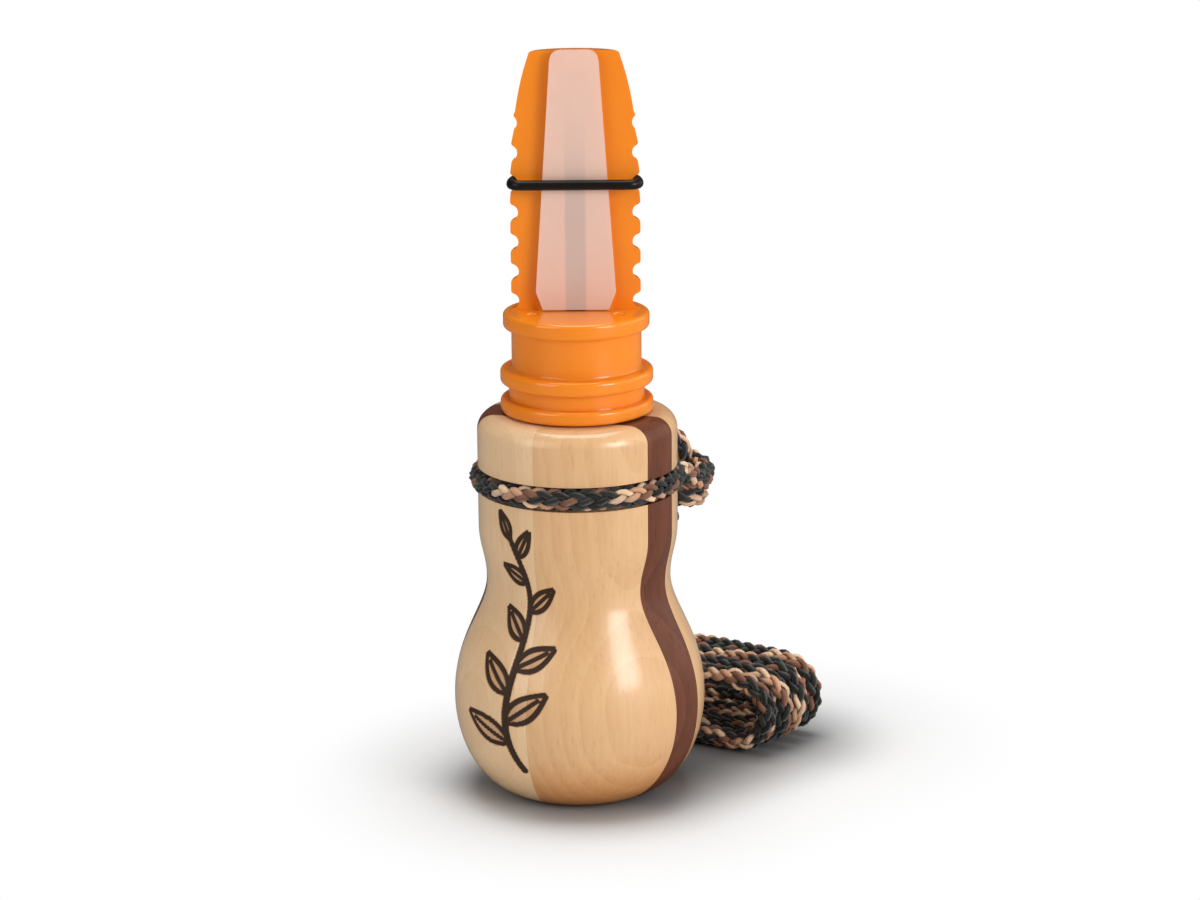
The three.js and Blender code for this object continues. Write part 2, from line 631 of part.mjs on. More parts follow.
// A tie round the hank's waist
function addHankTie(parent) {
  const clear = cordRadius + TIE_GAP + TIE_DIAMETER / 2;
  const topLayer = HANK_LAYERS - 1;
  const front = (topLayer + dropShare(topLayer, WAIST_PLACE)) * hankPitch + clear;
  const foot = cordRadius + WAIST_DRAW - clear;
  const head = cordRadius + 2 * HANK_FOLD - WAIST_DRAW + clear;
  const corner = new THREE.Path();
  const round = cordRadius + TIE_DIAMETER / 2;
  corner.absarc(front - round, head - round, round, 0, Math.PI / 2, false);
  corner.absarc(round - clear, head - round, round, Math.PI / 2, Math.PI, false);
  corner.absarc(round - clear, foot + round, round, Math.PI, Math.PI * 1.5, false);
  corner.absarc(front - round, foot + round, round, Math.PI * 1.5, Math.PI * 2, false);
  const points = corner.getPoints(RIM_STEPS).map((point) => {
    const flat = new THREE.Vector2(WAIST_PLACE, hankMiddle - point.x);
    flat.rotateAround(new THREE.Vector2(), HANK_TURN).add(HANK_CENTRE);
    return new THREE.Vector3(flat.x, flat.y, point.y);
  });
  const loop = new THREE.CatmullRomCurve3(points, true, 'centripetal');
  const tube = new THREE.TubeGeometry(loop, TIE_STEPS, TIE_DIAMETER / 2, HANK_SIDES, true);
  place(parent, 'hank_tie', geometryOf(solid(tube)), tieCord);
}

const call = new THREE.Group();
addBarrel(call);
addToneBoard(call);
addReed(call);
addReedBand(call);
addPlugSeals(call);
addLoopAndKnot(call);
addFallAndHank(call);
addHankTie(call);

export default call;
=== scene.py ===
# %% [markdown]
# # An open-reed elk call
# This call is blown like a small clarinet: a film reed lies on a moulded tone board, a rubber band
# sets its pitch, and a turned wooden barrel is the horn. A braided lanyard is looped round the neck
# of the barrel and lies behind it in a tied hank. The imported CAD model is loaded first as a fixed
# frame, and each piece below is made at that model's place and size, in metres.

# %% Load the frame
import math

import bpy
import numpy as np
from mathutils import Matrix, Vector


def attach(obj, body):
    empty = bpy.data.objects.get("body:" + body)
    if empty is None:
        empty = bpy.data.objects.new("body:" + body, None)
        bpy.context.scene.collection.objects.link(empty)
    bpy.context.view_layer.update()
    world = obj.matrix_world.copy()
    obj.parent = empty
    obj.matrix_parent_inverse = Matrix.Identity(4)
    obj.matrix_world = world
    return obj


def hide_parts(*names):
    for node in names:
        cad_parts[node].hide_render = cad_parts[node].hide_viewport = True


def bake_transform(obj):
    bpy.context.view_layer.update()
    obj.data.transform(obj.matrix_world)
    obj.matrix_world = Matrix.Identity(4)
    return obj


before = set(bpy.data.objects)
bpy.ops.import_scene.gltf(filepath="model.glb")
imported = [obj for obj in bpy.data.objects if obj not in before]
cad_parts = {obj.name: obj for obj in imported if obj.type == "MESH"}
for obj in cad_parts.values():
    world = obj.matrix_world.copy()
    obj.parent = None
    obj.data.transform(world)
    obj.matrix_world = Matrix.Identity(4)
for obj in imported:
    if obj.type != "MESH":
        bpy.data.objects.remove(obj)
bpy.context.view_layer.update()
MM = 0.001

# %% [markdown]
# ## Camera
# The call was photographed with a long lens from a little above. The camera comes first because the
# cord is measured against what it sees. A long lens needs distance, not a wide angle, so the camera
# stands half a metre away and looks down by its pitch.

# %% Camera
CAMERA_PITCH = math.radians(14.6)
CAMERA_ROLL = math.radians(-0.45)
CAMERA_PLACE = Vector((3.33, -486.9, 178.8)) * MM
CAMERA_LENS = 102
SENSOR_WIDTH = 36

scene = bpy.context.scene
scene.view_settings.view_transform = "Standard"
bpy.ops.object.camera_add(location=CAMERA_PLACE)
camera = bpy.context.object
camera.name = "photo_camera"
camera_turn = Matrix.Rotation(math.pi / 2 - CAMERA_PITCH, 3, "X") @ Matrix.Rotation(CAMERA_ROLL, 3, "Z")
camera.rotation_euler = camera_turn.to_euler()
camera.data.lens = CAMERA_LENS
camera.data.sensor_width = SENSOR_WIDTH
camera.data.clip_start = MM
scene.camera = camera
print("camera at", tuple(round(x, 4) for x in camera.location))

# %% [markdown]
# ## The lanyard's route
# A lanyard is one length of cord, so it gets one smooth curve. It starts at the tail of the knot,
# wraps round its own fall, runs round the neck of the barrel in its groove, drops through the knot
# and is folded into a hank. The places are the ones of the CAD solids, in millimetres, and the folds
# of the hank are worked out by a loop, because each one is like the one before it.

# %% The knot's and the neck loop's points
CORD_DIAMETER = 3.5
CORD_HEIGHT = 48.3
CORD_RING = 14.45
KNOT_PITCH = 3.95
KNOT_TURNS = 1.85
KNOT_TAIL = 0.8
KNOT_START = math.radians(-19)
WRAP_STEPS = 24
KNOT_TOP = np.array((15.43, 14.03, 46.13))
KNOT_FOOT = np.array((12.2, 17.8, 33.2))
JOINT_LENGTH = 3.8
LOOP_ANGLES = np.radians(range(350, 89, -13))
LOOP_SIDE = np.array((14.95, 2, CORD_HEIGHT))
LOOP_EXIT = np.array((7.2, 15.3, 49.5))


def unit(v):
    return v / np.linalg.norm(v)


LOOP_WAY = unit(np.array((1, 0.05, 0.2)))
knot_up = unit(KNOT_TOP - KNOT_FOOT)
knot_right = unit(np.array((1, 0, 0)) - knot_up * knot_up[0])
knot_away = np.cross(knot_up, knot_right)


def knot_point(turn):
    """A point on the knot's wraps, by the angle turned from the first one."""
    angle = KNOT_START + turn
    outward = knot_right * math.cos(angle) + knot_away * math.sin(angle)
    return KNOT_TOP - knot_up * KNOT_PITCH * turn / (2 * math.pi) + outward * KNOT_PITCH


def knot_and_loop():
    """From the knot's tail, back through its wraps and round the neck to the loop's exit."""
    wraps = [knot_point(2 * math.pi * k / WRAP_STEPS) for k in range(round(KNOT_TURNS * WRAP_STEPS) + 1)]
    tail = wraps[-1] + unit(wraps[-1] - wraps[-2]) * KNOT_TAIL
    lead = wraps[0] - unit(wraps[1] - wraps[0]) * JOINT_LENGTH
    ring = [np.array((CORD_RING * math.cos(a), CORD_RING * math.sin(a), CORD_HEIGHT)) for a in LOOP_ANGLES]
    exit_lead = LOOP_EXIT - LOOP_WAY * CORD_DIAMETER
    return [tail, *wraps[::-1], lead, LOOP_SIDE, *ring, exit_lead, LOOP_EXIT]


print("knot and neck loop:", len(knot_and_loop()), "points")

# %% The hank's points
HANK_CENTRE = np.array((11.7, 30.1))
HANK_TURN = math.radians(-30)
HANK_LAYERS = 5
HANK_PITCH = 3.95
HANK_MIDDLE = HANK_PITCH * (HANK_LAYERS - 1) / 2
HANK_FOLD = 4.9
HANK_REACH = 21.35
HANK_SLIP = 2
HANK_START = -8.5
HANK_TAIL_FROM = -3
HANK_TAIL = ((1, 4.4), (5, 3.9), (18, 3.9))
WAIST_PLACE = -10.5
WAIST_REACH = 9
WAIST_DRAW = 2.8
RUN_STEPS = 6
FOLD_STEPS = 8


def hank_place(along, depth):
    """Where a place of the hank lies on the floor, by its distance along and through it."""
    cos, sin = math.cos(HANK_TURN), math.sin(HANK_TURN)
    back = HANK_MIDDLE - depth
    return HANK_CENTRE + np.array((along * cos - back * sin, along * sin + back * cos))


def hank_point(along, across, depth):
    """A point of a loop that stands on edge, drawn in where the tie holds the hank's waist."""
    near = math.exp(-(((along - WAIST_PLACE) / WAIST_REACH) ** 2))
    drawn = across - np.sign(across) * WAIST_DRAW * near
    return np.array((*hank_place(along, depth), CORD_DIAMETER / 2 + HANK_FOLD - drawn))


def fold_start(layer):
    """Each loop of the hank has slipped back from the one behind it."""
    return HANK_REACH - HANK_SLIP * (layer / (HANK_LAYERS - 1)) ** 2


def drop_share(layer, along):
    """The share of one layer's depth that a top run still has to move back, at a place along it."""
    start = fold_start(min(layer + 1, HANK_LAYERS - 1))
    return (along + HANK_REACH) / (start + HANK_REACH)


def straight(start, end):
    """Places along a straight run, all but its end."""
    return np.linspace(start, end, RUN_STEPS, endpoint=False)


def fold(place, side, depth):
    """Half a turn round an end of the hank: the side is 1 at the right end and -1 at the left one."""
    points = []
    for angle in np.linspace(0, math.pi, FOLD_STEPS, endpoint=False):
        along = place + side * HANK_FOLD * math.sin(angle)
        points.append(hank_point(along, side * HANK_FOLD * math.cos(angle), depth))
    return points


def hank_points():
    points = []
    last = HANK_LAYERS - 1
    for layer in range(last, -1, -1):
        depth = layer * HANK_PITCH
        start = HANK_START if layer == last else fold_start(layer + 1)
        for along in straight(start, -HANK_REACH):
            points.append(hank_point(along, -HANK_FOLD, depth + HANK_PITCH * drop_share(layer, along)))
        points += fold(-HANK_REACH, -1, depth)
        end = fold_start(layer) if layer else HANK_TAIL_FROM
        points += [hank_point(along, HANK_FOLD, depth) for along in straight(-HANK_REACH, end)]
        if layer:
            points += fold(end, 1, depth)
    return points + [hank_point(along, across, 0) for along, across in HANK_TAIL]


print("hank:", len(hank_points()), "points")

# %% One smooth curve through all of them
CURVE_SAMPLES = 24
CORD_STEP = 0.55
FALL_TOP = ((14.3, 14.5, 50.3), (15.7, 13.9, 48.5))
FALL_FOOT = ((11.05, 19, 28.4), (10.2, 19.5, 23.2))
FALL_BEND = 8.5
FALL_ANGLES = np.radians((90, 67.5, 45, 22.5))
KNOT_LEAD = 0.2


def gaps(points):
    """The distance from each point of a line to the next."""
    return np.linalg.norm(np.diff(points, axis=0), axis=1)


def even_steps(points, step):
    """The same line, with points a step apart."""
    lengths = np.concatenate([[0], np.cumsum(gaps(points))])
    places = np.linspace(0, lengths[-1], round(lengths[-1] / step) + 1)
    return np.column_stack([np.interp(places, lengths, points[:, k]) for k in range(3)])


def curve_through(points, step):
    """A centripetal Catmull-Rom curve, the kind that the CAD solids follow."""
    points = np.array(points)
    ends = np.vstack([2 * points[0] - points[1], points, 2 * points[-1] - points[-2]])
    share = np.linspace(0, 1, CURVE_SAMPLES, endpoint=False)[:, None]
    line = []
    for before, start, end, after in zip(ends, ends[1:], ends[2:], ends[3:]):
        t0, t1, t2 = np.sqrt(gaps((before, start, end, after)))
        leave = t1 * ((start - before) / t0 - (end - before) / (t0 + t1) + (end - start) / t1)
        arrive = t1 * ((end - start) / t1 - (after - start) / (t1 + t2) + (after - end) / t2)
        turn = 2 * (start - end) + leave + arrive
        bend = 3 * (end - start) - 2 * leave - arrive
        line.append(start + leave * share + bend * share**2 + turn * share**3)
    return even_steps(np.vstack([*line, points[-1:]]), step)


def lanyard_points():
    """The lanyard's whole route, from the knot's tail to its bare end in the hank."""
    hank = hank_points()
    into = unit(hank[1] - hank[0])
    bend = []
    for angle in FALL_ANGLES:
        back = JOINT_LENGTH + FALL_BEND * math.sin(angle)
        bend.append(hank[0] - into * back + np.array((0, 0, FALL_BEND * (1 - math.cos(angle)))))
    fall = [
        LOOP_EXIT + LOOP_WAY * JOINT_LENGTH,
        *FALL_TOP,
        KNOT_TOP + knot_up * KNOT_LEAD,
        (KNOT_TOP + KNOT_FOOT) / 2,
        KNOT_FOOT,
        *FALL_FOOT,
        *bend,
        hank[0] - into * JOINT_LENGTH,
    ]
    return [*knot_and_loop(), *fall, *hank]


lanyard_route = curve_through(lanyard_points(), CORD_STEP)

# %% [markdown]
# ## Braiding the cord
# The cord is a hollow braid: half of its flat strands wind one way and half the other, and each goes
# over two and under two. A bumpy tube would only hint at that, so every strand is swept on its own.
# A strand's distance from the middle follows a cosine along its crossings, which lifts it over the
# strands of the other way where it should be on top. The dyed colour of each stitch and a pair of
# coordinates along and around the strand are kept as attributes for the material.

# %% The braid's maker
STRAND_SIDES = 4
STRAND_THICK = 0.1
STRAND_SWING = 1.42
STRAND_WIDE = 0.36
MELTED_END = 1.6
MELTED_LEAST = 0.02
SINGE_DARK = 0.25
SINGE_RISE = 1.4
STITCH_TINT = 0.16
WAY_PHASES = (-0.5, 2.5)
OFF_LINE = (0.3, 0.2, 1)


def srgb(red, green, blue):
    """A colour as a screen shows it, 0 to 255, made linear for a shader."""
    shares = [x / 255 for x in (red, green, blue)]
    return tuple(x / 12.92 if x <= 0.04045 else ((x + 0.055) / 1.055) ** 2.4 for x in shares)


def steps_along(line, closed):
    """The step past each point of a line, from the one before it to the one after it."""
    if closed:
        return np.roll(line, -1, axis=0) - np.roll(line, 1, axis=0)
    return np.gradient(line, axis=0)


def directions(line, closed):
    """Two directions across a line at each of its points, which don't twist along it."""
    ahead = steps_along(line, closed)
    ahead /= np.linalg.norm(ahead, axis=1)[:, None]
    side = np.empty_like(ahead)
    side[0] = unit(np.cross(ahead[0], OFF_LINE))
    for k in range(1, len(line)):
        side[k] = unit(side[k - 1] - ahead[k] * np.dot(side[k - 1], ahead[k]))
    return side, np.cross(ahead, side)


def strand_faces(first, steps, closed):
    """The faces round one strand, whose sides are numbered one after the other from the first point."""
    k = np.arange(steps if closed else steps - 1)
    after = (k + 1) % steps
    faces = []
    for corner in range(STRAND_SIDES):
        here, there = first + corner * steps, first + (corner + 1) % STRAND_SIDES * steps
        faces += np.column_stack([here + k, there + k, there + after, here + after]).tolist()
    if not closed:
        start = first + np.arange(STRAND_SIDES) * steps
        faces += [start[::-1].tolist(), (start + steps - 1).tolist()]
    return faces


def braid(name, line, diameter, ways, pitch, dyes, seed, closed=False):
    """Sweep the strands of a braid along a line in millimetres; dyes has one list for each way."""
    draw = np.random.default_rng(seed)
    steps = len(line)
    along = np.arange(steps) * np.linalg.norm(line[1] - line[0])
    side, up = directions(line, closed)
    half_thick = diameter * STRAND_THICK
    half_wide = math.pi * diameter / ways * STRAND_WIDE
    swing = half_thick * STRAND_SWING
    middle = diameter / 2 - half_thick - swing
    swell, singe = np.ones(steps), np.ones(steps)
    if not closed:
        from_end = np.minimum(along, along[-1] - along) / MELTED_END
        swell = np.sqrt(np.clip(1 - (1 - np.clip(from_end, MELTED_LEAST, 1)) ** 2, 0, 1))
        singe = np.clip(from_end * SINGE_RISE, SINGE_DARK, 1)
    spots, colours, threads, faces = [], [], [], []
    for way, hand in enumerate((1, -1)):
        for strand in range(ways):
            turn = 2 * math.pi * (strand + way / 2) / ways + hand * 2 * math.pi * along / pitch
            crossing = 2 * ways * along / pitch - 0.5
            phase = crossing + WAY_PHASES[way] + hand * 2 * strand
            reach = (middle + swing * np.cos(phase * math.pi / 2)) * swell
            outward = np.cos(turn)[:, None] * side + np.sin(turn)[:, None] * up
            centre = line + reach[:, None] * outward
            across = np.cross(steps_along(centre, closed), outward)
            across /= np.linalg.norm(across, axis=1)[:, None]
            stitch = np.floor((phase + 2) / 4).astype(int)
            stitch -= stitch.min()
            tints = 1 + STITCH_TINT * draw.uniform(-1, 1, stitch.max() + 1)
            faces += strand_faces(len(spots) * steps, steps, closed)
            for corner in range(STRAND_SIDES):
                angle = corner * 2 * math.pi / STRAND_SIDES - math.pi / 2
                wide = half_wide * math.cos(angle) * swell
                thick = half_thick * math.sin(angle) * swell
                spots.append(centre + wide[:, None] * across + thick[:, None] * outward)
                colours.append(np.array(dyes[way][strand]) * (tints[stitch] * singe)[:, None])
                around = np.full(steps, corner / STRAND_SIDES)
                threads.append(np.column_stack([along, around, np.zeros(steps)]))
    return braid_mesh(name, np.vstack(spots), np.vstack(colours), np.vstack(threads), faces)


def braid_mesh(name, spots, colours, threads, faces):
    mesh = bpy.data.meshes.new(name)
    mesh.from_pydata((spots * MM).tolist(), [], faces)
    dye = mesh.attributes.new("dye", "FLOAT_COLOR", "POINT")
    dye.data.foreach_set("color", np.column_stack([colours, np.ones(len(spots))]).ravel())
    thread = mesh.attributes.new("thread", "FLOAT_VECTOR", "POINT")
    thread.data.foreach_set("vector", threads.ravel())
    mesh.shade_smooth()
    piece = bpy.data.objects.new(name, mesh)
    scene.collection.objects.link(piece)
    print(name, len(mesh.polygons), "faces")
    return piece


# %% Helpers for selecting and finishing a piece
def object_mode():
    """Leave edit mode, with nothing selected."""
    if bpy.context.object and bpy.context.object.mode != "OBJECT":
        bpy.ops.object.mode_set(mode="OBJECT")
    bpy.ops.object.select_all(action="DESELECT")


def only(piece):
    """Leave just this piece selected and active."""
    object_mode()
    piece.select_set(True)
    bpy.context.view_layer.objects.active = piece


def edit_all(piece):
    """Open a piece in edit mode with all of it selected."""
    only(piece)
    bpy.ops.object.mode_set(mode="EDIT")
    bpy.ops.mesh.select_all(action="SELECT")


def face_out():
    """In edit mode, turn all faces outward and leave the mode."""
    bpy.ops.mesh.select_all(action="SELECT")
    bpy.ops.mesh.normals_make_consistent(inside=False)
    bpy.ops.object.mode_set(mode="OBJECT")


def outward_faces(piece):
    edit_all(piece)
    face_out()


# %% Braid the lanyard and the hank's tie
BRAID_PITCH = 18
BRAID_WAYS = 8
DARK = srgb(38, 40, 34)
SOOT = srgb(22, 19, 17)
BROWN = srgb(134, 86, 62)
TAN = srgb(232, 194, 158)
SAND = srgb(204, 154, 118)
lanyard_dyes = (
    (TAN, SAND, BROWN, DARK, SOOT, DARK, SOOT, DARK),
    (DARK, SOOT, BROWN, SAND, TAN, SOOT, DARK, BROWN),
)
lanyard = braid("lanyard", lanyard_route, CORD_DIAMETER, BRAID_WAYS, BRAID_PITCH, lanyard_dyes, seed=4)
outward_faces(lanyard)

TIE_WAYS = 4
TIE_PITCH = 7
TIE_STEP = 0.5
TIE_DIAMETER = 2
TIE_GAP = 0.3
TIE_CORNER_STEPS = 12
tie_clear = CORD_DIAMETER / 2 + TIE_GAP + TIE_DIAMETER / 2
tie_round = (CORD_DIAMETER + TIE_DIAMETER) / 2
tie_layers = HANK_LAYERS - 1 + drop_share(HANK_LAYERS - 1, WAIST_PLACE)
tie_foot = CORD_DIAMETER / 2 + WAIST_DRAW - tie_clear
tie_head = CORD_DIAMETER / 2 + 2 * HANK_FOLD - WAIST_DRAW + tie_clear


def tie_route():
    """A loop with rounded corners in the upright plane across the hank's waist."""
    front = tie_layers * HANK_PITCH + tie_clear - tie_round
    back = tie_round - tie_clear
    low, high = tie_foot + tie_round, tie_head - tie_round
    loop = []
    for quarter, (depth, height) in enumerate(((front, high), (back, high), (back, low), (front, low))):
        for share in np.linspace(0, 1, TIE_CORNER_STEPS + 1):
            angle = (quarter + share) * math.pi / 2
            place = hank_place(WAIST_PLACE, depth + tie_round * math.cos(angle))
            loop.append((*place, height + tie_round * math.sin(angle)))
    return np.array([*loop, loop[0]])


tie_length = gaps(tie_route()).sum()
tie_line = even_steps(tie_route(), TIE_STEP)[:-1]
tie_dyes = ((SOOT, DARK, SOOT, DARK), (DARK, SOOT, DARK, SOOT))
tie_pitch = tie_length / round(tie_length / TIE_PITCH)
tie = braid("hank_tie_cord", tie_line, TIE_DIAMETER, TIE_WAYS, tie_pitch, tie_dyes, seed=9, closed=True)
outward_faces(tie)

# %% [markdown]
# ## Cord finish
# Dyed nylon is matt with a slight sheen, and its fibres run along each strand. The colours come from
# the braid's own attribute, and fine stripes on the strand's coordinates give the twist of the yarn.

# %% Helpers for materials
def new_material(name, **values):
    """A Principled material with plain values set on its sockets; returns it with its shader."""
    material = bpy.data.materials.new(name)
    material.use_nodes = True
    shader = material.node_tree.nodes["Principled BSDF"]
    for socket, value in values.items():
        shader.inputs[socket.replace("_", " ")].default_value = value
    return material, shader


def give(tree, socket, value):
    """Link an output to a socket, or set a plain value on it; a plain colour comes without alpha."""
    if isinstance(value, bpy.types.NodeSocket):
        tree.links.new(value, socket)
    elif socket.type == "RGBA":
        socket.default_value = (*value, 1)
    else:
        socket.default_value = value


def add_node(tree, kind, **values):
    """A node with its settings; a value goes to the socket of that name where no setting has it."""
    node = tree.nodes.new("ShaderNode" + kind)
    for key, value in values.items():
        if hasattr(node, key):
            setattr(node, key, value)
        else:
            give(tree, node.inputs[key.replace("_", " ")], value)
    return node


def calculate(tree, operation, *values, kind="Math", result="Value"):
    """What a Math or VectorMath node makes of outputs and plain values."""
    node = add_node(tree, kind, operation=operation)
    for socket, value in zip(node.inputs, values):
        give(tree, socket, value)
    return node.outputs[result]


def mix_colours(tree, factor, first, second, blend="MIX"):
    node = add_node(tree, "Mix", data_type="RGBA", blend_type=blend, Factor=factor, A=first, B=second)
    return node.outputs["Result"]


def map_range(tree, value, start, end, low=0, high=1, ease="LINEAR"):
    """Carry a value from the range between start and end to the one between low and high."""
    node = add_node(tree, "MapRange", interpolation_type=ease, Value=value,
                    From_Min=start, From_Max=end, To_Min=low, To_Max=high)
    return node.outputs["Result"]


def fade(tree, value, start, end, low=0, high=1):
    """The same, with a soft start and end."""
    return map_range(tree, value, start, end, low, high, ease="SMOOTHSTEP")


def add_bump(tree, shader, height, strength, distance):
    bump = add_node(tree, "Bump", Strength=strength, Distance=distance, Height=height)
    tree.links.new(bump.outputs["Normal"], shader.inputs["Normal"])


def object_place(tree):
    return add_node(tree, "TexCoord").outputs["Object"]


def attribute(tree, name):
    return add_node(tree, "Attribute", attribute_name=name).outputs


def noise(tree, place, **values):
    return add_node(tree, "TexNoise", Vector=place, **values).outputs["Fac"]


def mapped(tree, place, **values):
    return add_node(tree, "Mapping", Vector=place, **values).outputs["Vector"]


def dress(piece, material):
    """Give a piece one material in place of any that it has."""
    piece.data.materials.clear()
    piece.data.materials.append(material)


# %% The cord's finish
YARN_SCALE = (2.2, 14, 0)
YARN_TURN = (0, 0, math.radians(8))
YARN_DARK = 0.72
YARN_LIGHT = 1.12


def cord_material(name):
    material, shader = new_material(name, Roughness=0.82, Sheen_Weight=0.25, Specular_IOR_Level=0.3)
    tree = material.node_tree
    turned = mapped(tree, attribute(tree, "thread")["Vector"], Scale=YARN_SCALE, Rotation=YARN_TURN)
    fibres = add_node(
        tree, "TexWave", bands_direction="Y", Vector=turned, Scale=0.5, Distortion=2.5, Detail=2
    ).outputs["Fac"]
    shade = map_range(tree, fibres, 0, 1, YARN_DARK, YARN_LIGHT)
    colour = mix_colours(tree, 1, attribute(tree, "dye")["Color"], shade, "MULTIPLY")
    tree.links.new(colour, shader.inputs["Base Color"])
    add_bump(tree, shader, fibres, strength=0.5, distance=0.08 * MM)
    return material


dress(lanyard, cord_material("camo_cord_braid"))
dress(tie, cord_material("tie_cord_braid"))
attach(lanyard, "barrel")
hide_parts("lanyard_loop", "lanyard_knot", "lanyard_fall", "lanyard_hank")
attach(tie, "barrel")
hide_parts("hank_tie")

# %% [markdown]
# ## Turning a profile
# The barrel and the plug of the tone board are turned round one axis. As on a lathe, half of the
# section is drawn once and swept round: a plane is merged to a single vertex, which is extruded from
# point to point, and the chain of edges is then spun through a full turn.

# %% Helpers for drawing and turning a section
WELD = 0.002 * MM


def arc(centre, radii, start, end, steps):
    """Points of an arc between two angles in degrees; its radii are one number, or two of an ellipse."""
    wide, high = np.broadcast_to(radii, 2)
    angles = np.radians(np.linspace(start, end, steps + 1))
    return [(centre[0] + wide * math.cos(a), centre[1] + high * math.sin(a)) for a in angles]


def bezier(start, leave, arrive, end, steps):
    """Points of a curve that leaves its start and arrives at its end along two handles."""
    points = [np.array(p) for p in (start, leave, arrive, end)]
    shares = np.linspace(0, 1, steps + 1)
    weights = [((1 - t) ** 3, 3 * t * (1 - t) ** 2, 3 * t**2 * (1 - t), t**3) for t in shares]
    return [tuple(sum(w * p for w, p in zip(row, points))) for row in weights]


def new_piece(name):
    """The mesh that was just added, under its own name."""
    piece = bpy.context.object
    piece.name = name
    piece.data.name = name
    return piece


def draw_chain(name, points):
    """Draw points in millimetres as a chain of edges, and stay in edit mode."""
    object_mode()
    bpy.ops.mesh.primitive_plane_add(size=MM)
    piece = new_piece(name)
    bpy.ops.object.mode_set(mode="EDIT")
    bpy.ops.mesh.merge(type="CENTER")
    places = [Vector(p) * MM for p in points]
    bpy.ops.transform.translate(value=places[0])
    for here, there in zip(places, places[1:]):
        bpy.ops.mesh.extrude_region_move(TRANSFORM_OT_translate={"value": there - here})
    bpy.ops.mesh.select_all(action="SELECT")
    return piece


def spin(steps, angle=2 * math.pi, centre=(0, 0, 0)):
    bpy.ops.mesh.spin(steps=steps, angle=angle, center=centre, axis=(0, 0, 1))


def weld():
    """In edit mode, weld what meets, turn all faces outward and leave the mode."""
    bpy.ops.mesh.select_all(action="SELECT")
    bpy.ops.mesh.remove_doubles(threshold=WELD)
    face_out()


def turn_section(name, section, steps):
    """Spin a section of (radius, height) points round the call's axis."""
    piece = draw_chain(name, [(r, 0, z) for r, z in section])
    spin(steps)
    weld()
    print(name, "turned:", len(piece.data.polygons), "faces")
    return piece


# %% [markdown]
# ## The barrel
# The barrel is turned from a glued-up blank: two boards of maple in front, a strip of walnut behind
# them and a thick maple board at the back. The whole barrel is turned first, as on the lathe, and
# copies of it are then cut along the glue lines, so the seams follow the turned shape on all sides.

# %% Turn the barrel
BARREL_LENGTH = 58.1
BASE_RADIUS = 9
BULB_RADIUS = 18.8
BULB_HEIGHT = 14.6
WAIST_RADIUS = 13.7
WAIST_HEIGHT = 33
NECK_RADIUS = 14.8
NECK_FOOT = 41
NECK_EASE = 3.2
WAIST_EASE = 5
BULB_EASE = 8.9
SHOULDER = 2.6
MOUTH_RADIUS = 7
MOUTH_DEPTH = 5
THROAT_RADIUS = 5
PLUG_BORE = 7.95
PLUG_FLOOR = 39.1
GROOVE_RADIUS = 1.87
BARREL_TURNS = 192


def line_steps(start, end, steps):
    """Points of a straight line in even steps."""
    shares = np.linspace(0, 1, steps + 1)
    return [(start[0] + (end[0] - start[0]) * t, start[1] + (end[1] - start[1]) * t) for t in shares]


def barrel_outside():
    """The outer line of the barrel's section, from its shoulder down to its base."""
    lip = math.degrees(math.acos((NECK_RADIUS - CORD_RING) / GROOVE_RADIUS))
    groove = arc((CORD_RING, CORD_HEIGHT), GROOVE_RADIUS, lip, 360 - lip, steps=16)
    shoulder = BARREL_LENGTH - SHOULDER
    neck = (NECK_RADIUS, NECK_FOOT)
    below_neck = (NECK_RADIUS, NECK_FOOT - NECK_EASE)
    above_waist = (WAIST_RADIUS, WAIST_HEIGHT + NECK_EASE)
    waist = (WAIST_RADIUS, WAIST_HEIGHT)
    below_waist = (WAIST_RADIUS, WAIST_HEIGHT - WAIST_EASE)
    above_bulb = (BULB_RADIUS, BULB_HEIGHT + BULB_EASE)
    bulb = (BULB_RADIUS, BULB_HEIGHT)
    foot_radii = (BULB_RADIUS - BASE_RADIUS, BULB_HEIGHT)
    return [
        *arc((NECK_RADIUS - SHOULDER, shoulder), SHOULDER, 90, 0, steps=12),
        *line_steps((NECK_RADIUS, shoulder), groove[0], steps=6)[1:-1],
        *groove,
        *line_steps(groove[-1], neck, steps=8)[1:],
        *bezier(neck, below_neck, above_waist, waist, steps=16)[1:],
        *bezier(waist, below_waist, above_bulb, bulb, steps=36)[1:],
        *arc((BASE_RADIUS, BULB_HEIGHT), foot_radii, 0, -90, steps=32)[1:],
    ]


def barrel_section():
    bore = [
        (MOUTH_RADIUS, 0),
        (THROAT_RADIUS, MOUTH_DEPTH),
        (THROAT_RADIUS, PLUG_FLOOR),
        (PLUG_BORE, PLUG_FLOOR),
        (PLUG_BORE, BARREL_LENGTH),
    ]
    return [*bore, *barrel_outside(), bore[0]]


barrel = turn_section("barrel_turned", barrel_section(), BARREL_TURNS)

# %% [markdown]
# The drawing on the barrel is burned into the lacquered wood with a hot tip. Here it is a plain leafy
# sprig. Lines that fine need a fine mesh, so the faces of the front that carry it are divided, set back
# on the turned surface, and sunk a little where the tip has burned. How dark each point is burned is
# kept as an attribute.

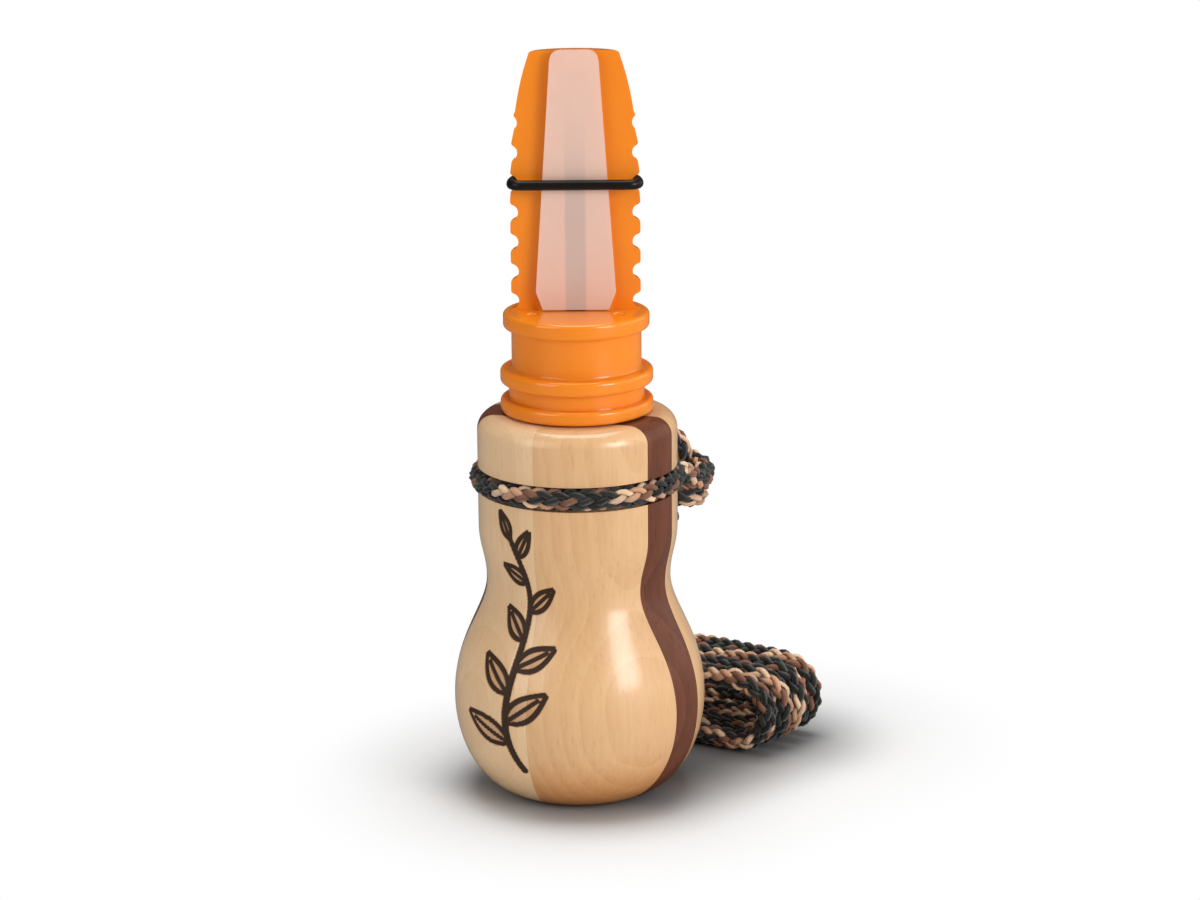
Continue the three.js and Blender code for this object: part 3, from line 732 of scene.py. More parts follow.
# %% The sprig's design, by distance round the barrel and height
SPRIG_MIDDLE = math.radians(-123)
SPRIG_RADIUS = 16
STEM_LINE = np.array(bezier((1.5, 7.5), (-5, 18), (5.5, 28), (-2.5, 41.5), 60))
STEM_HALF = 0.55
LINE_HALF = 0.4
LINE_BLUR = 0.16
LEAF_SHADE = 0.34
LEAF_PLACES = (
    (0.13, -1), (0.24, 1), (0.36, -1), (0.48, 1), (0.6, -1), (0.72, 1), (0.84, -1), (0.93, 1), (1, 0)
)
LEAF_LONG = 8.6
LEAF_LEAN = math.radians(52)
LEAF_SHRINK = 0.45
LEAF_HALF = 0.2
LEAF_BELLY = 0.8
RIB_HALF = 0.32
RIB_END = 0.82
SHADE_LOSS = 0.6
SKIN_RADIUS = WAIST_RADIUS - 1


def soft_step(distance, half):
    """1 inside a line's half width, 0 outside it, with a short soft edge."""
    return np.clip((half - distance) / LINE_BLUR + 0.5, 0, 1)


def leaf_burn(flat, share, hand):
    """How much one leaf burns each point: its outline, its midrib and a light shade inside."""
    index = round(share * (len(STEM_LINE) - 1))
    root = STEM_LINE[index]
    growth = unit(STEM_LINE[min(index + 1, len(STEM_LINE) - 1)] - STEM_LINE[max(index - 1, 0)])
    lean = hand * LEAF_LEAN
    way = np.array((growth[0] * math.cos(lean) + growth[1] * math.sin(lean),
                    growth[1] * math.cos(lean) - growth[0] * math.sin(lean)))
    long = LEAF_LONG * (1 - LEAF_SHRINK * share)
    along = ((flat - root) @ way) / long
    across = np.abs((flat - root) @ np.array((-way[1], way[0])))
    inside = np.clip(along, 0, 1)
    half = LEAF_HALF * long * np.sin(math.pi * inside**LEAF_BELLY)
    on_leaf = (along > 0) & (along < 1)
    outline = soft_step(np.abs(across - half), LINE_HALF)
    midrib = soft_step(across, RIB_HALF) * (inside < RIB_END)
    shade = LEAF_SHADE * (1 - SHADE_LOSS * inside) * (across < half)
    return on_leaf * np.maximum(np.maximum(outline, midrib), shade)


def round_from_sprig(x, y):
    """The distance round the barrel from the sprig's middle line."""
    turn = np.arctan2(y, x) - SPRIG_MIDDLE
    return SPRIG_RADIUS * ((turn + math.pi) % (2 * math.pi) - math.pi)


def sprig_burn(places):
    """How dark the tip has burned each place, 0 to 1, for places in millimetres."""
    x, y, z = places.T
    flat = np.column_stack([round_from_sprig(x, y), z])
    stem = np.min(np.linalg.norm(flat[:, None] - STEM_LINE[None], axis=2), axis=1)
    burn = soft_step(stem, STEM_HALF)
    for share, hand in LEAF_PLACES:
        burn = np.maximum(burn, leaf_burn(flat, share, hand))
    return burn * (np.hypot(x, y) > SKIN_RADIUS)


def mesh_places(piece):
    """The vertices' places in millimetres."""
    flat = np.empty(len(piece.data.vertices) * 3)
    piece.data.vertices.foreach_get("co", flat)
    return flat.reshape(-1, 3) / MM


def set_places(piece, places):
    piece.data.vertices.foreach_set("co", (places * MM).ravel())


# %% Divide the faces under the sprig
SPRIG_CUTS = 2
SPRIG_REACH = 11.5
SPRIG_FOOT = 4
SPRIG_HEAD = 46
SKIN_GAP = 0.05


def divide_under_sprig(piece):
    edit_all(piece)
    bpy.ops.mesh.select_all(action="DESELECT")
    bpy.ops.object.mode_set(mode="OBJECT")
    for face in piece.data.polygons:
        x, y, z = face.center / MM
        near = abs(round_from_sprig(x, y)) < SPRIG_REACH and SPRIG_FOOT < z < SPRIG_HEAD
        face.select = bool(near and math.hypot(x, y) > SKIN_RADIUS)
    bpy.ops.object.mode_set(mode="EDIT")
    bpy.ops.mesh.subdivide(number_cuts=SPRIG_CUTS)
    bpy.ops.object.mode_set(mode="OBJECT")
    outer = sorted((z, r) for r, z in barrel_outside() if z < CORD_HEIGHT - GROOVE_RADIUS)
    heights, radii = np.array(outer).T
    places = mesh_places(piece)
    x, y, z = places.T
    reach = np.hypot(x, y)
    true_reach = np.interp(z, heights, radii)
    skin = (np.abs(reach - true_reach) < SKIN_GAP) & (z > SPRIG_FOOT) & (z < SPRIG_HEAD)
    places[skin, :2] *= (true_reach / reach)[skin, None]
    set_places(piece, places)
    print("sprig's faces divided:", len(piece.data.polygons), "faces in all")


divide_under_sprig(barrel)

# %% Cut the barrel along its glue lines and burn the sprig
BLANK_TURN = math.radians(-20)
WALNUT_FACE = -6.55
BACK_FACE = -0.2
FRONT_SEAM = -1.4
GLUE_HALF = 0.012
BURN_DEPTH = 0.12
CUT_TOLERANCE = 1e-7
SMOOTH_ANGLE = math.radians(32)
ACROSS = Vector((math.cos(BLANK_TURN), math.sin(BLANK_TURN), 0))
THROUGH = Vector((-math.sin(BLANK_TURN), math.cos(BLANK_TURN), 0))


def copy_of(piece, name):
    twin = piece.copy()
    twin.data = piece.data.copy()
    twin.name = name
    twin.data.name = name
    scene.collection.objects.link(twin)
    return twin


def saw(piece, normal, offset):
    """Keep what lies before the plane at that offset along the normal, and close the cut."""
    edit_all(piece)
    bpy.ops.mesh.bisect(
        plane_co=normal * offset * MM, plane_no=normal, use_fill=True, clear_outer=True,
        threshold=CUT_TOLERANCE,
    )
    bpy.ops.object.mode_set(mode="OBJECT")


def smooth(piece):
    only(piece)
    bpy.ops.object.shade_smooth_by_angle(angle=SMOOTH_ANGLE)


def board_of(name, cuts):
    """A copy of the barrel, cut to one board of the blank and burned where the sprig crosses it."""
    piece = copy_of(barrel, name)
    for normal, offset in cuts:
        saw(piece, normal, offset - GLUE_HALF)
    outward_faces(piece)
    places = mesh_places(piece)
    burn = sprig_burn(places)
    reach = np.hypot(places[:, 0], places[:, 1])
    places[:, :2] *= (1 - BURN_DEPTH * burn / reach)[:, None]
    set_places(piece, places)
    piece.data.attributes.new("burn", "FLOAT", "POINT").data.foreach_set("value", burn)
    smooth(piece)
    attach(piece, "barrel")
    print(name, len(piece.data.polygons), "faces")
    return piece


front_left = board_of("front_left_maple", ((THROUGH, WALNUT_FACE), (ACROSS, FRONT_SEAM)))
front_right = board_of("front_right_maple", ((THROUGH, WALNUT_FACE), (-ACROSS, -FRONT_SEAM)))
walnut_strip = board_of("walnut_strip", ((-THROUGH, -WALNUT_FACE), (THROUGH, BACK_FACE)))
back_maple = board_of("back_maple", ((-THROUGH, -BACK_FACE),))
bpy.data.objects.remove(barrel)

# %% [markdown]
# ## Wood and lacquer
# Maple is pale with close, faint rings and fine fibres; walnut is dark brown with open pores. Both show
# rings as a solid would, so the pattern is worked out in space: rings round a pith that lies outside
# the blank give straight lines on a flat cut and arches on the bulb. One node group makes it for all
# boards. Under the bulb the golden maple is painted browner towards its foot, a painted shade where the
# bulb turns down to the floor. The lacquer is a coat on the shader, with its values set there.

# %% The grain's node group
GRAIN_INPUTS = {
    "Place": "Vector", "Early": "Color", "Late": "Color", "Fleck": "Color",
    "Rings": "Float", "Ring Scale": "Float", "Fibres": "Float", "Flecks": "Float",
}
GRAIN_OUTPUTS = {"Color": "Color", "Height": "Float"}
FIBRE_STRETCH = (1, 1, 0.045)
PORE_STRETCH = (1, 1, 0.12)
PORE_FROM = 0.62
PORE_TO = 0.72
CLOUD_SHARE = 0.3


def grain_group():
    tree = bpy.data.node_groups.new("turned_grain", "ShaderNodeTree")
    for way, sockets in (("INPUT", GRAIN_INPUTS), ("OUTPUT", GRAIN_OUTPUTS)):
        for name, kind in sockets.items():
            tree.interface.new_socket(name, in_out=way, socket_type="NodeSocket" + kind)
    given = tree.nodes.new("NodeGroupInput").outputs
    place = given["Place"]
    rings = add_node(
        tree, "TexWave", wave_type="RINGS", rings_direction="Z", wave_profile="SAW", Vector=place,
        Scale=given["Ring Scale"], Distortion=1.6, Detail=2, Detail_Scale=0.6, Detail_Roughness=0.4,
    ).outputs["Fac"]
    fibres = noise(tree, mapped(tree, place, Scale=FIBRE_STRETCH), Scale=1500, Detail=4, Roughness=0.6)
    pores = noise(tree, mapped(tree, place, Scale=PORE_STRETCH), Scale=2600, Detail=1)
    cloud = noise(tree, place, Scale=90, Detail=2)
    ring_part = calculate(tree, "MULTIPLY", rings, given["Rings"])
    fibre_part = calculate(tree, "MULTIPLY", fibres, given["Fibres"])
    both = calculate(tree, "ADD", ring_part, fibre_part)
    height = calculate(tree, "MULTIPLY_ADD", cloud, CLOUD_SHARE, both)
    wood = mix_colours(tree, height, given["Early"], given["Late"])
    flecks = calculate(tree, "MULTIPLY", map_range(tree, pores, PORE_FROM, PORE_TO), given["Flecks"])
    result = tree.nodes.new("NodeGroupOutput").inputs
    tree.links.new(mix_colours(tree, flecks, wood, given["Fleck"]), result["Color"])
    tree.links.new(height, result["Height"])
    return tree


GRAIN = grain_group()
print("grain group:", len(GRAIN.nodes), "nodes")

# %% The boards' finishes
SCORCH_RAMP = ((0.35, srgb(144, 84, 42)), (0.8, srgb(32, 14, 6)))
SCORCH_FULL = 0.6
SCORCH_COVER = 0.96
LACQUER = 1
BOARD_LEAN = (0.05, 0.04, 0)
FOOT_SHADE_TOP = 12


def wood_material(name, pith, painted_foot_shade=None, burned=False, coat=LACQUER, **grain_values):
    material, shader = new_material(
        name, Roughness=0.5, Coat_Weight=coat, Coat_Roughness=0.2, Specular_IOR_Level=0.2
    )
    tree = material.node_tree
    place = object_place(tree)
    from_pith = mapped(tree, place, Location=Vector(pith) * MM, Rotation=BOARD_LEAN)
    grain = add_node(tree, "Group", node_tree=GRAIN, Place=from_pith, **grain_values).outputs
    colour = grain["Color"]
    # painted shade: the golden maple is multiplied browner towards the foot of the bulb
    if painted_foot_shade:
        height = add_node(tree, "SeparateXYZ", Vector=place).outputs["Z"]
        colour = mix_colours(tree, fade(tree, height, FOOT_SHADE_TOP * MM, 0), colour, painted_foot_shade, "MULTIPLY")
    if burned:
        burn = attribute(tree, "burn")["Fac"]
        scorch = add_node(tree, "ValToRGB", Fac=burn)
        for stop, (position, shade) in zip(scorch.color_ramp.elements, SCORCH_RAMP):
            stop.position = position
            stop.color = (*shade, 1)
        cover = map_range(tree, burn, 0, SCORCH_FULL, 0, SCORCH_COVER)
        colour = mix_colours(tree, cover, colour, scorch.outputs["Color"])
        tree.links.new(map_range(tree, burn, 0, 1, LACQUER, 0), shader.inputs["Coat Weight"])
    tree.links.new(colour, shader.inputs["Base Color"])
    add_bump(tree, shader, grain["Height"], strength=0.08, distance=0.05 * MM)
    return material


maple_pale = wood_material(
    "maple_pale_lacquered", pith=(70, 40, 0), burned=True,
    Early=srgb(240, 207, 164), Late=srgb(216, 171, 125), Fleck=srgb(187, 140, 98),
    Rings=0.16, Ring_Scale=120, Fibres=0.5, Flecks=0.16,
)
maple_gold = wood_material(
    "maple_gold_lacquered", pith=(-60, 90, 0), painted_foot_shade=(0.87, 0.6, 0.36), burned=True,
    Early=srgb(233, 192, 144), Late=srgb(203, 152, 101), Fleck=srgb(174, 124, 80),
    Rings=0.18, Ring_Scale=150, Fibres=0.55, Flecks=0.18,
)
walnut = wood_material(
    "walnut_lacquered", pith=(30, -60, 0), coat=0.25,
    Early=srgb(128, 72, 46), Late=srgb(82, 43, 28), Fleck=srgb(54, 28, 18),
    Rings=0.26, Ring_Scale=130, Fibres=0.6, Flecks=0.5,
)
boards = (
    (front_left, "barrel_front_left_maple", maple_pale, "maple_pale"),
    (front_right, "barrel_front_right_maple", maple_gold, "maple_gold"),
    (walnut_strip, "barrel_walnut_strip", walnut, "walnut"),
    (back_maple, "barrel_back_maple", maple_gold, "maple_gold"),
)
for piece, node, material, slot in boards:
    dress(piece, material)
    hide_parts(node)
print("boards finished:", len(boards))

# %% [markdown]
# ## The tone board
# The orange insert is one moulding: a plug with two ring grooves, two flanges, a stem, a collar and a
# half-round board with a raised table for the reed. The round parts are turned, the board is a turned
# bullet that is flattened towards its tip and sawn in half, and the table is an outline pulled out of
# the face. They are joined with Boolean modifiers, and the tone channel and two small dimples in the
# collar are cut out last.

# %% Turn the plug, the flanges and the collar
SEAT = 58.3
PLUG_FOOT = 41.3
PLUG_RADIUS = 7.65
PLUG_CHAMFER = 0.8
SEAL_DEPTHS = (12, 4.5)
SEAL_FLOOR = 6.05
SEAL_REACH = 1.05
FLANGE_RADIUS = 11.25
GROOVE_BOTTOM = 60.4
GROOVE_TOP = 62.6
GROOVE_FLOOR = 10
STEM_FOOT = 64.8
STEM_RADIUS = 9.55
COLLAR_FOOT = 70.8
COLLAR_TOP = 73.2
COLLAR_RADIUS = 10.75
RIM_ROUND = 0.6
ROOT_FILLET = 0.4
RIM_STEPS = 8
FILLET_STEPS = 4
AIR_BORE = 3
AIR_TOP = 70.2
INSERT_TURNS = 128


def rim(foot, top, radius):
    """A moulded rim with both its edges rounded."""
    inner = radius - RIM_ROUND
    lower = arc((inner, foot + RIM_ROUND), RIM_ROUND, -90, 0, RIM_STEPS)
    return lower + arc((inner, top - RIM_ROUND), RIM_ROUND, 0, 90, RIM_STEPS)


def insert_section():
    section = [(AIR_BORE, PLUG_FOOT), (PLUG_RADIUS - PLUG_CHAMFER, PLUG_FOOT)]
    section.append((PLUG_RADIUS, PLUG_FOOT + PLUG_CHAMFER))
    for depth in SEAL_DEPTHS:
        low, high = SEAT - depth - SEAL_REACH, SEAT - depth + SEAL_REACH
        section += [(PLUG_RADIUS, low), (SEAL_FLOOR, low), (SEAL_FLOOR, high), (PLUG_RADIUS, high)]
    section += [(PLUG_RADIUS, SEAT), *rim(SEAT, GROOVE_BOTTOM, FLANGE_RADIUS)]
    section += [(GROOVE_FLOOR, GROOVE_BOTTOM), (GROOVE_FLOOR, GROOVE_TOP)]
    section += rim(GROOVE_TOP, STEM_FOOT, FLANGE_RADIUS)
    root = STEM_RADIUS + ROOT_FILLET
    section += arc((root, STEM_FOOT + ROOT_FILLET), ROOT_FILLET, 270, 180, FILLET_STEPS)
    section += arc((root, COLLAR_FOOT - ROOT_FILLET), ROOT_FILLET, 180, 90, FILLET_STEPS)
    section += rim(COLLAR_FOOT, COLLAR_TOP, COLLAR_RADIUS)
    return [*section, (0, COLLAR_TOP), (0, AIR_TOP), (AIR_BORE, AIR_TOP), (AIR_BORE, PLUG_FOOT)]


insert = turn_section("tone_board_moulding", insert_section(), INSERT_TURNS)

# %% Turn the notched board, flatten its tip and saw it in half
BOARD_RADIUS = 9.5
BOARD_TIP = 111.2
BOARD_ROOT = 72
BOARD_STRAIGHT = 12
BOARD_TAPER = 1.28
OGIVE_DROP = 1.78
TIP_ROUND = 0.7
TIP_RELIEF = 14
TIP_BACK_SHARE = 0.56
LAND_FACE = 0.5
NOTCH_COUNT = 7
NOTCH_PITCH = 4.38
NOTCH_RADIUS = 1.15
NOTCH_FLOOR = 8.35
FIRST_NOTCH = 1.3
NOTCH_STEPS = 12
NOTCH_LIP = 0.5
LIP_STEPS = 5
TIP_STEPS = 16


def board_radius(height):
    """The board's radius at a height: straight at first, then drawn in towards the tip."""
    share = max(0, height - COLLAR_TOP - BOARD_STRAIGHT) / (BOARD_TIP - COLLAR_TOP - BOARD_STRAIGHT)
    return BOARD_RADIUS - BOARD_TAPER * share**2 - OGIVE_DROP * share**4


def notch(centre):
    """One round notch with rounded lips, from below to above."""
    hollow = (NOTCH_FLOOR + NOTCH_RADIUS, centre)
    lip_middle = board_radius(centre) - NOTCH_LIP
    inward = hollow[0] - lip_middle
    rise = math.sqrt((NOTCH_RADIUS + NOTCH_LIP) ** 2 - inward**2)
    half = math.degrees(math.atan2(rise, inward))
    return [
        *arc((lip_middle, centre - rise), NOTCH_LIP, 0, half, LIP_STEPS),
        *arc(hollow, NOTCH_RADIUS, 180 + half, 180 - half, NOTCH_STEPS)[1:-1],
        *arc((lip_middle, centre + rise), NOTCH_LIP, -half, 0, LIP_STEPS),
    ]


def board_section():
    section = [(0, BOARD_ROOT), (BOARD_RADIUS, BOARD_ROOT)]
    for n in range(NOTCH_COUNT):
        section += notch(COLLAR_TOP + FIRST_NOTCH + n * NOTCH_PITCH)
    shoulder = BOARD_TIP - TIP_ROUND
    for height in np.linspace(section[-1][1], shoulder, TIP_STEPS)[1:]:
        section.append((board_radius(height), height))
    edge = board_radius(shoulder) - TIP_ROUND
    return [*section, *arc((edge, shoulder), TIP_ROUND, 0, 90, RIM_STEPS)[1:], (0, BOARD_TIP)]


board = turn_section("board", board_section(), INSERT_TURNS)
places = mesh_places(board)
rise = np.clip((places[:, 2] - BOARD_TIP + TIP_RELIEF) / TIP_RELIEF, 0, 1)
places[:, 1] *= 1 - (1 - TIP_BACK_SHARE) * rise**2
set_places(board, places)
saw(board, Vector((0, -1, 0)), -LAND_FACE)
outward_faces(board)

# %% Draw the reed's outline and pull the table out of the face
REED_FOOT_WIDTH = 9.7
REED_WIDE_WIDTH = 11.7
REED_WIDE_RISE = 2.7
REED_TIP_WIDTH = 7.2
REED_TIP_FLAT = 3.8
REED_TIP_ROUND = 2.3
TABLE_FACE = -0.5
TABLE_INSET = 0.35
TABLE_BACK = 2.5
LAY_START = 89.02
LAY_DROP = 1
LAY_ROWS = 20
OUTLINE_STEPS = 8


def reed_outline(foot, tip, inset):
    """The reed's edge in X and Z, drawn in by an inset: one side, and the other mirrored."""
    wide, side, base, flat = (
        w / 2 - inset for w in (REED_WIDE_WIDTH, REED_TIP_WIDTH, REED_FOOT_WIDTH, REED_TIP_FLAT)
    )
    right = [(base, foot), (wide, foot + REED_WIDE_RISE), (side, tip - REED_TIP_ROUND)]
    for t in np.linspace(0, 1, OUTLINE_STEPS + 1)[1:]:
        x = side * (1 - t**2) + flat * t**2
        right.append((x, tip - REED_TIP_ROUND * (1 - t) ** 2))
    return right + [(-x, z) for x, z in right[::-1]]


def outline_plate(name, outline, front, depth, heights):
    """A plate of that outline from a front face in Y, parted into rows at the heights."""
    piece = draw_chain(name, [(x, front, z) for x, z in outline])
    bpy.ops.mesh.edge_face_add()
    for height in heights:
        bpy.ops.mesh.select_all(action="SELECT")
        bpy.ops.mesh.bisect(plane_co=(0, 0, height * MM), plane_no=(0, 0, 1), threshold=CUT_TOLERANCE)
    bpy.ops.mesh.select_all(action="SELECT")
    bpy.ops.mesh.extrude_region_move(TRANSFORM_OT_translate={"value": (0, depth * MM, 0)})
    face_out()
    return piece


def lay(height):
    """How far the table's face falls away from the reed at a height."""
    return LAY_DROP * np.clip((height - LAY_START) / (BOARD_TIP - LAY_START), 0, 1) ** 2


table = outline_plate(
    "table", reed_outline(COLLAR_FOOT, BOARD_TIP, TABLE_INSET), TABLE_FACE, TABLE_BACK - TABLE_FACE,
    np.linspace(LAY_START, BOARD_TIP, LAY_ROWS)[:-1],
)
places = mesh_places(table)
front_face = places[:, 1] < 0
places[front_face, 1] += lay(places[front_face, 2])
set_places(table, places)
print("table rows:", LAY_ROWS)

# %% Join the moulding, cut the tone channel and sink the two dimples
CHANNEL_HALF = 1.5
CHANNEL_FLOOR = 2.9
CHANNEL_FOOT = 67.2
CHANNEL_TOP = 105.2
CHANNEL_FRONT = -0.6
DIMPLE_PLACE = (6.3, -2.9)
DIMPLE_RADIUS = 1.05
DIMPLE_DEPTH = 0.7


def box_cutter(name, low, high):
    object_mode()
    middle = (Vector(low) + Vector(high)) / 2 * MM
    bpy.ops.mesh.primitive_cube_add(size=1, location=middle)
    cutter = bpy.context.object
    cutter.name = name
    cutter.scale = (Vector(high) - Vector(low)) * MM
    bpy.ops.object.transform_apply(location=True, rotation=False, scale=True)
    return cutter


def combine(piece, other, operation):
    """Join or cut with a Boolean modifier, apply it and throw the other solid away."""
    only(piece)
    modifier = piece.modifiers.new("combine", "BOOLEAN")
    modifier.operation = operation
    modifier.solver = "EXACT"
    modifier.object = other
    bpy.ops.object.modifier_apply(modifier="combine")
    bpy.data.objects.remove(other)


combine(board, table, "UNION")
combine(insert, board, "UNION")
channel = box_cutter(
    "channel", (-CHANNEL_HALF, CHANNEL_FRONT, CHANNEL_FOOT), (CHANNEL_HALF, CHANNEL_FLOOR, CHANNEL_TOP)
)
combine(insert, channel, "DIFFERENCE")
dimple_height = COLLAR_TOP + DIMPLE_RADIUS - DIMPLE_DEPTH
for side in (-1, 1):
    dimple = Vector((side * DIMPLE_PLACE[0], DIMPLE_PLACE[1], dimple_height))
    bpy.ops.mesh.primitive_uv_sphere_add(
        segments=32, ring_count=16, radius=DIMPLE_RADIUS * MM, location=dimple * MM
    )
    combine(insert, bpy.context.object, "DIFFERENCE")
smooth(insert)
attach(insert, "insert")
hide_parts("tone_board")
print("moulding:", len(insert.data.polygons), "faces")

# %% [markdown]
# ## Orange plastic
# The moulding is a glossy orange plastic that lets a little light in, so its thin edges glow. Its base
# colour hardly changes; a slow, faint mottle in the roughness keeps the highlights from being perfect.

# %% The plastic's finish
def plastic_material():
    material, shader = new_material(
        "orange_plastic_moulded", Roughness=0.26, Subsurface_Weight=0.2, Subsurface_Scale=1.5 * MM,
        Subsurface_Radius=(1, 0.35, 0.1), Specular_IOR_Level=0.65,
    )
    tree = material.node_tree
    mottle = noise(tree, object_place(tree), Scale=140, Detail=3)
    tint = mix_colours(tree, mottle, srgb(243, 143, 31), srgb(239, 131, 27))
    tree.links.new(tint, shader.inputs["Base Color"])
    tree.links.new(map_range(tree, mottle, 0, 1, 0.1, 0.18), shader.inputs["Roughness"])
    return material


dress(insert, plastic_material())
print("moulding's material:", insert.data.materials[0].name)

# %% [markdown]
# ## The reed
# The reed is one strip of frosted film, held against the table by the band; above the band it is free to
# bend. The CAD model parts it there into a heel and a blade. The film is see-through enough to warm to the
# plastic under it, and over the tone channel it is painted darker, a painted shade of the channel below.
# Its vertices move in a pose, so that painted stripe is placed by where they are at rest, which is kept
# as an attribute.

# %% Draw the reed
REED_FRONT = -0.95
REED_THICKNESS = 0.35
REED_FOOT = 73.4
REED_TIP = 111.5
REED_ROWS = 76
reed = outline_plate(
    "reed_film", reed_outline(REED_FOOT, REED_TIP, 0), REED_FRONT, REED_THICKNESS,
    np.linspace(REED_FOOT, REED_TIP, REED_ROWS + 1)[1:-1],
)
smooth(reed)
rest_place = reed.data.attributes.new("rest_place", "FLOAT_VECTOR", "POINT")
rest_place.data.foreach_set("vector", (mesh_places(reed) * MM).ravel())
print("reed rows:", REED_ROWS)

# %% The film's finish
BAND_HEIGHT = 92.02
STRIPE_EDGE = 0.25
STRIPE_FADE = 20
CHANNEL_SHADE_TINT = (0.8, 0.87, 0.92)


def film_material():
    """Frosted film, with a painted shade in a stripe over the tone channel, where the channel's shadow shows
    through.
    """
    material, shader = new_material("reed_film_frosted", Roughness=0.42, Alpha=0.74, Specular_IOR_Level=0.4)
    tree = material.node_tree
    place = attribute(tree, "rest_place")["Vector"]
    frost = noise(tree, place, Scale=420, Detail=3)
    tint = mix_colours(tree, frost, srgb(246, 208, 190), srgb(242, 202, 182))
    apart = add_node(tree, "SeparateXYZ", Vector=place).outputs
    from_middle = calculate(tree, "ABSOLUTE", apart["X"])
    across = fade(tree, from_middle, (CHANNEL_HALF + STRIPE_EDGE) * MM, (CHANNEL_HALF - STRIPE_EDGE) * MM)
    upward = fade(tree, apart["Z"], CHANNEL_TOP * MM, (CHANNEL_TOP - STRIPE_FADE) * MM)
    # painted shade: darker where the shaded tone channel shows through the film
    stripe = calculate(tree, "MULTIPLY", across, upward)
    tree.links.new(mix_colours(tree, stripe, tint, CHANNEL_SHADE_TINT, "MULTIPLY"), shader.inputs["Base Color"])
    return material


dress(reed, film_material())
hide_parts("reed_heel", "reed_blade")
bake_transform(reed)

# %% [markdown]
# ## The rubber band and the seals
# The band is a small black rubber ring, stretched straight over the reed and round the back of the
# board in one of its notches. A circle is spun half a turn for the back, a quarter turn for each front
# corner, and the two open ends are bridged. The two seals on the plug are plain rubber rings.

# %% Spin the band and the seals
BAND_DIAMETER = 1.5
BAND_GAP = 0.1
BAND_RADIUS = NOTCH_FLOOR + BAND_GAP + BAND_DIAMETER / 2
BAND_FRONT = REED_FRONT - BAND_GAP - BAND_DIAMETER / 2
BAND_CORNER = 1.4
BAND_SIDES = 24
SEAL_DIAMETER = 1.7
SEAL_GAP = 0.1
SEAL_RADIUS = PLUG_BORE - SEAL_GAP - SEAL_DIAMETER / 2
ON_PLANE = 0.01


def ring_section(name, radius, height, diameter):
    """A circle of rubber across the XZ plane, at a radius from the axis, in edit mode."""
    object_mode()
    bpy.ops.mesh.primitive_circle_add(
        vertices=BAND_SIDES, radius=diameter / 2 * MM,
        location=(radius * MM, 0, height * MM), rotation=(math.pi / 2, 0, 0),
    )
    piece = new_piece(name)
    bpy.ops.object.transform_apply(location=True, rotation=True, scale=True)
    bpy.ops.object.mode_set(mode="EDIT")
    bpy.ops.mesh.select_all(action="SELECT")
    return piece


def select_near(piece, test):
    """In edit mode, select just the vertices whose places in millimetres pass a test."""
    bpy.ops.mesh.select_all(action="DESELECT")
    bpy.ops.mesh.select_mode(type="VERT")
    bpy.ops.object.mode_set(mode="OBJECT")
    for vertex in piece.data.vertices:
        vertex.select = bool(test(*(vertex.co / MM)))
    bpy.ops.object.mode_set(mode="EDIT")


def close_ring():
    weld()
    bpy.ops.object.shade_smooth()


def rubber_band():
    piece = ring_section("pitch_band", BAND_RADIUS, BAND_HEIGHT, BAND_DIAMETER)
    spin(steps=64, angle=-math.pi)
    flat_end = BAND_RADIUS - BAND_CORNER
    corner_y = BAND_FRONT + BAND_CORNER
    for side in (1, -1):
        select_near(piece, lambda x, y, z: x * side > 0 and abs(y) < ON_PLANE)
        bpy.ops.mesh.extrude_region_move(TRANSFORM_OT_translate={"value": (0, corner_y * MM, 0)})
        centre = (side * flat_end * MM, corner_y * MM, BAND_HEIGHT * MM)
        spin(steps=14, angle=side * math.pi / 2, centre=centre)
    select_near(piece, lambda x, y, z: abs(abs(x) - flat_end) < ON_PLANE and y < corner_y)
    bpy.ops.mesh.bridge_edge_loops(number_cuts=24, interpolation="LINEAR")
    close_ring()
    return piece


band = rubber_band()
print("band faces:", len(band.data.polygons))
seals = []
for name, depth in zip(("seal_ring_lower", "seal_ring_upper"), SEAL_DEPTHS):
    seal = ring_section(name, SEAL_RADIUS, SEAT - depth, SEAL_DIAMETER)
    spin(steps=96)
    close_ring()
    seals.append(seal)
    print(name, len(seal.data.polygons), "faces")

# %% The rubber's finish
def rubber_material(name):
    material, shader = new_material(name, Roughness=0.32, Specular_IOR_Level=0.25)
    tree = material.node_tree
    dust = noise(tree, object_place(tree), Scale=1100, Detail=4, Roughness=0.6)
    tint = mix_colours(tree, dust, srgb(16, 13, 11), srgb(28, 23, 19))
    tree.links.new(tint, shader.inputs["Base Color"])
    return material


rubber = rubber_material("black_rubber_soft")
for piece, body, node in (
    (band, "reed_band", "reed_band"),
    (seals[0], "plug_seals", "plug_seal_lower"),
    (seals[1], "plug_seals", "plug_seal_upper"),
):
    dress(piece, rubber)
    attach(piece, body)
    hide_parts(node)
print("rubber pieces: 3")

# %% [markdown]
# ## Floor, light and world
# The call stands on a pale floor in soft light. Broad lamps in front and at the right give the highlights
# on the lacquer and the rims, and one from above grounds the shadow. Near the call the floor's colour is
# painted darker, a painted shadow, by the distance from a line between the base and the hank's end, as a
# close soft shadow looks. Further off it turns to plain white for what the camera sees. The room behind it
# is white to the camera too, but lights the call only faintly. Gloss mirrors less of the floor and the room
# than the camera sees of them, as in a photograph taken between dark walls.

# %% Floor
FLOOR_SIZE = 6
SHADOW_START = Vector((3, 2, 0)) * MM
SHADOW_RUN = Vector((24, 17, 0)) * MM
SHADE_NEAR = 0.006
SHADE_FAR = 0.031
SHADE_DARK = 0.13
SHADE_EASE = 0.005
MIRRORED = 0.25
FLOOR_PALE = 0.78
WHITE_NEAR = 0.017
WHITE_FAR = 0.05


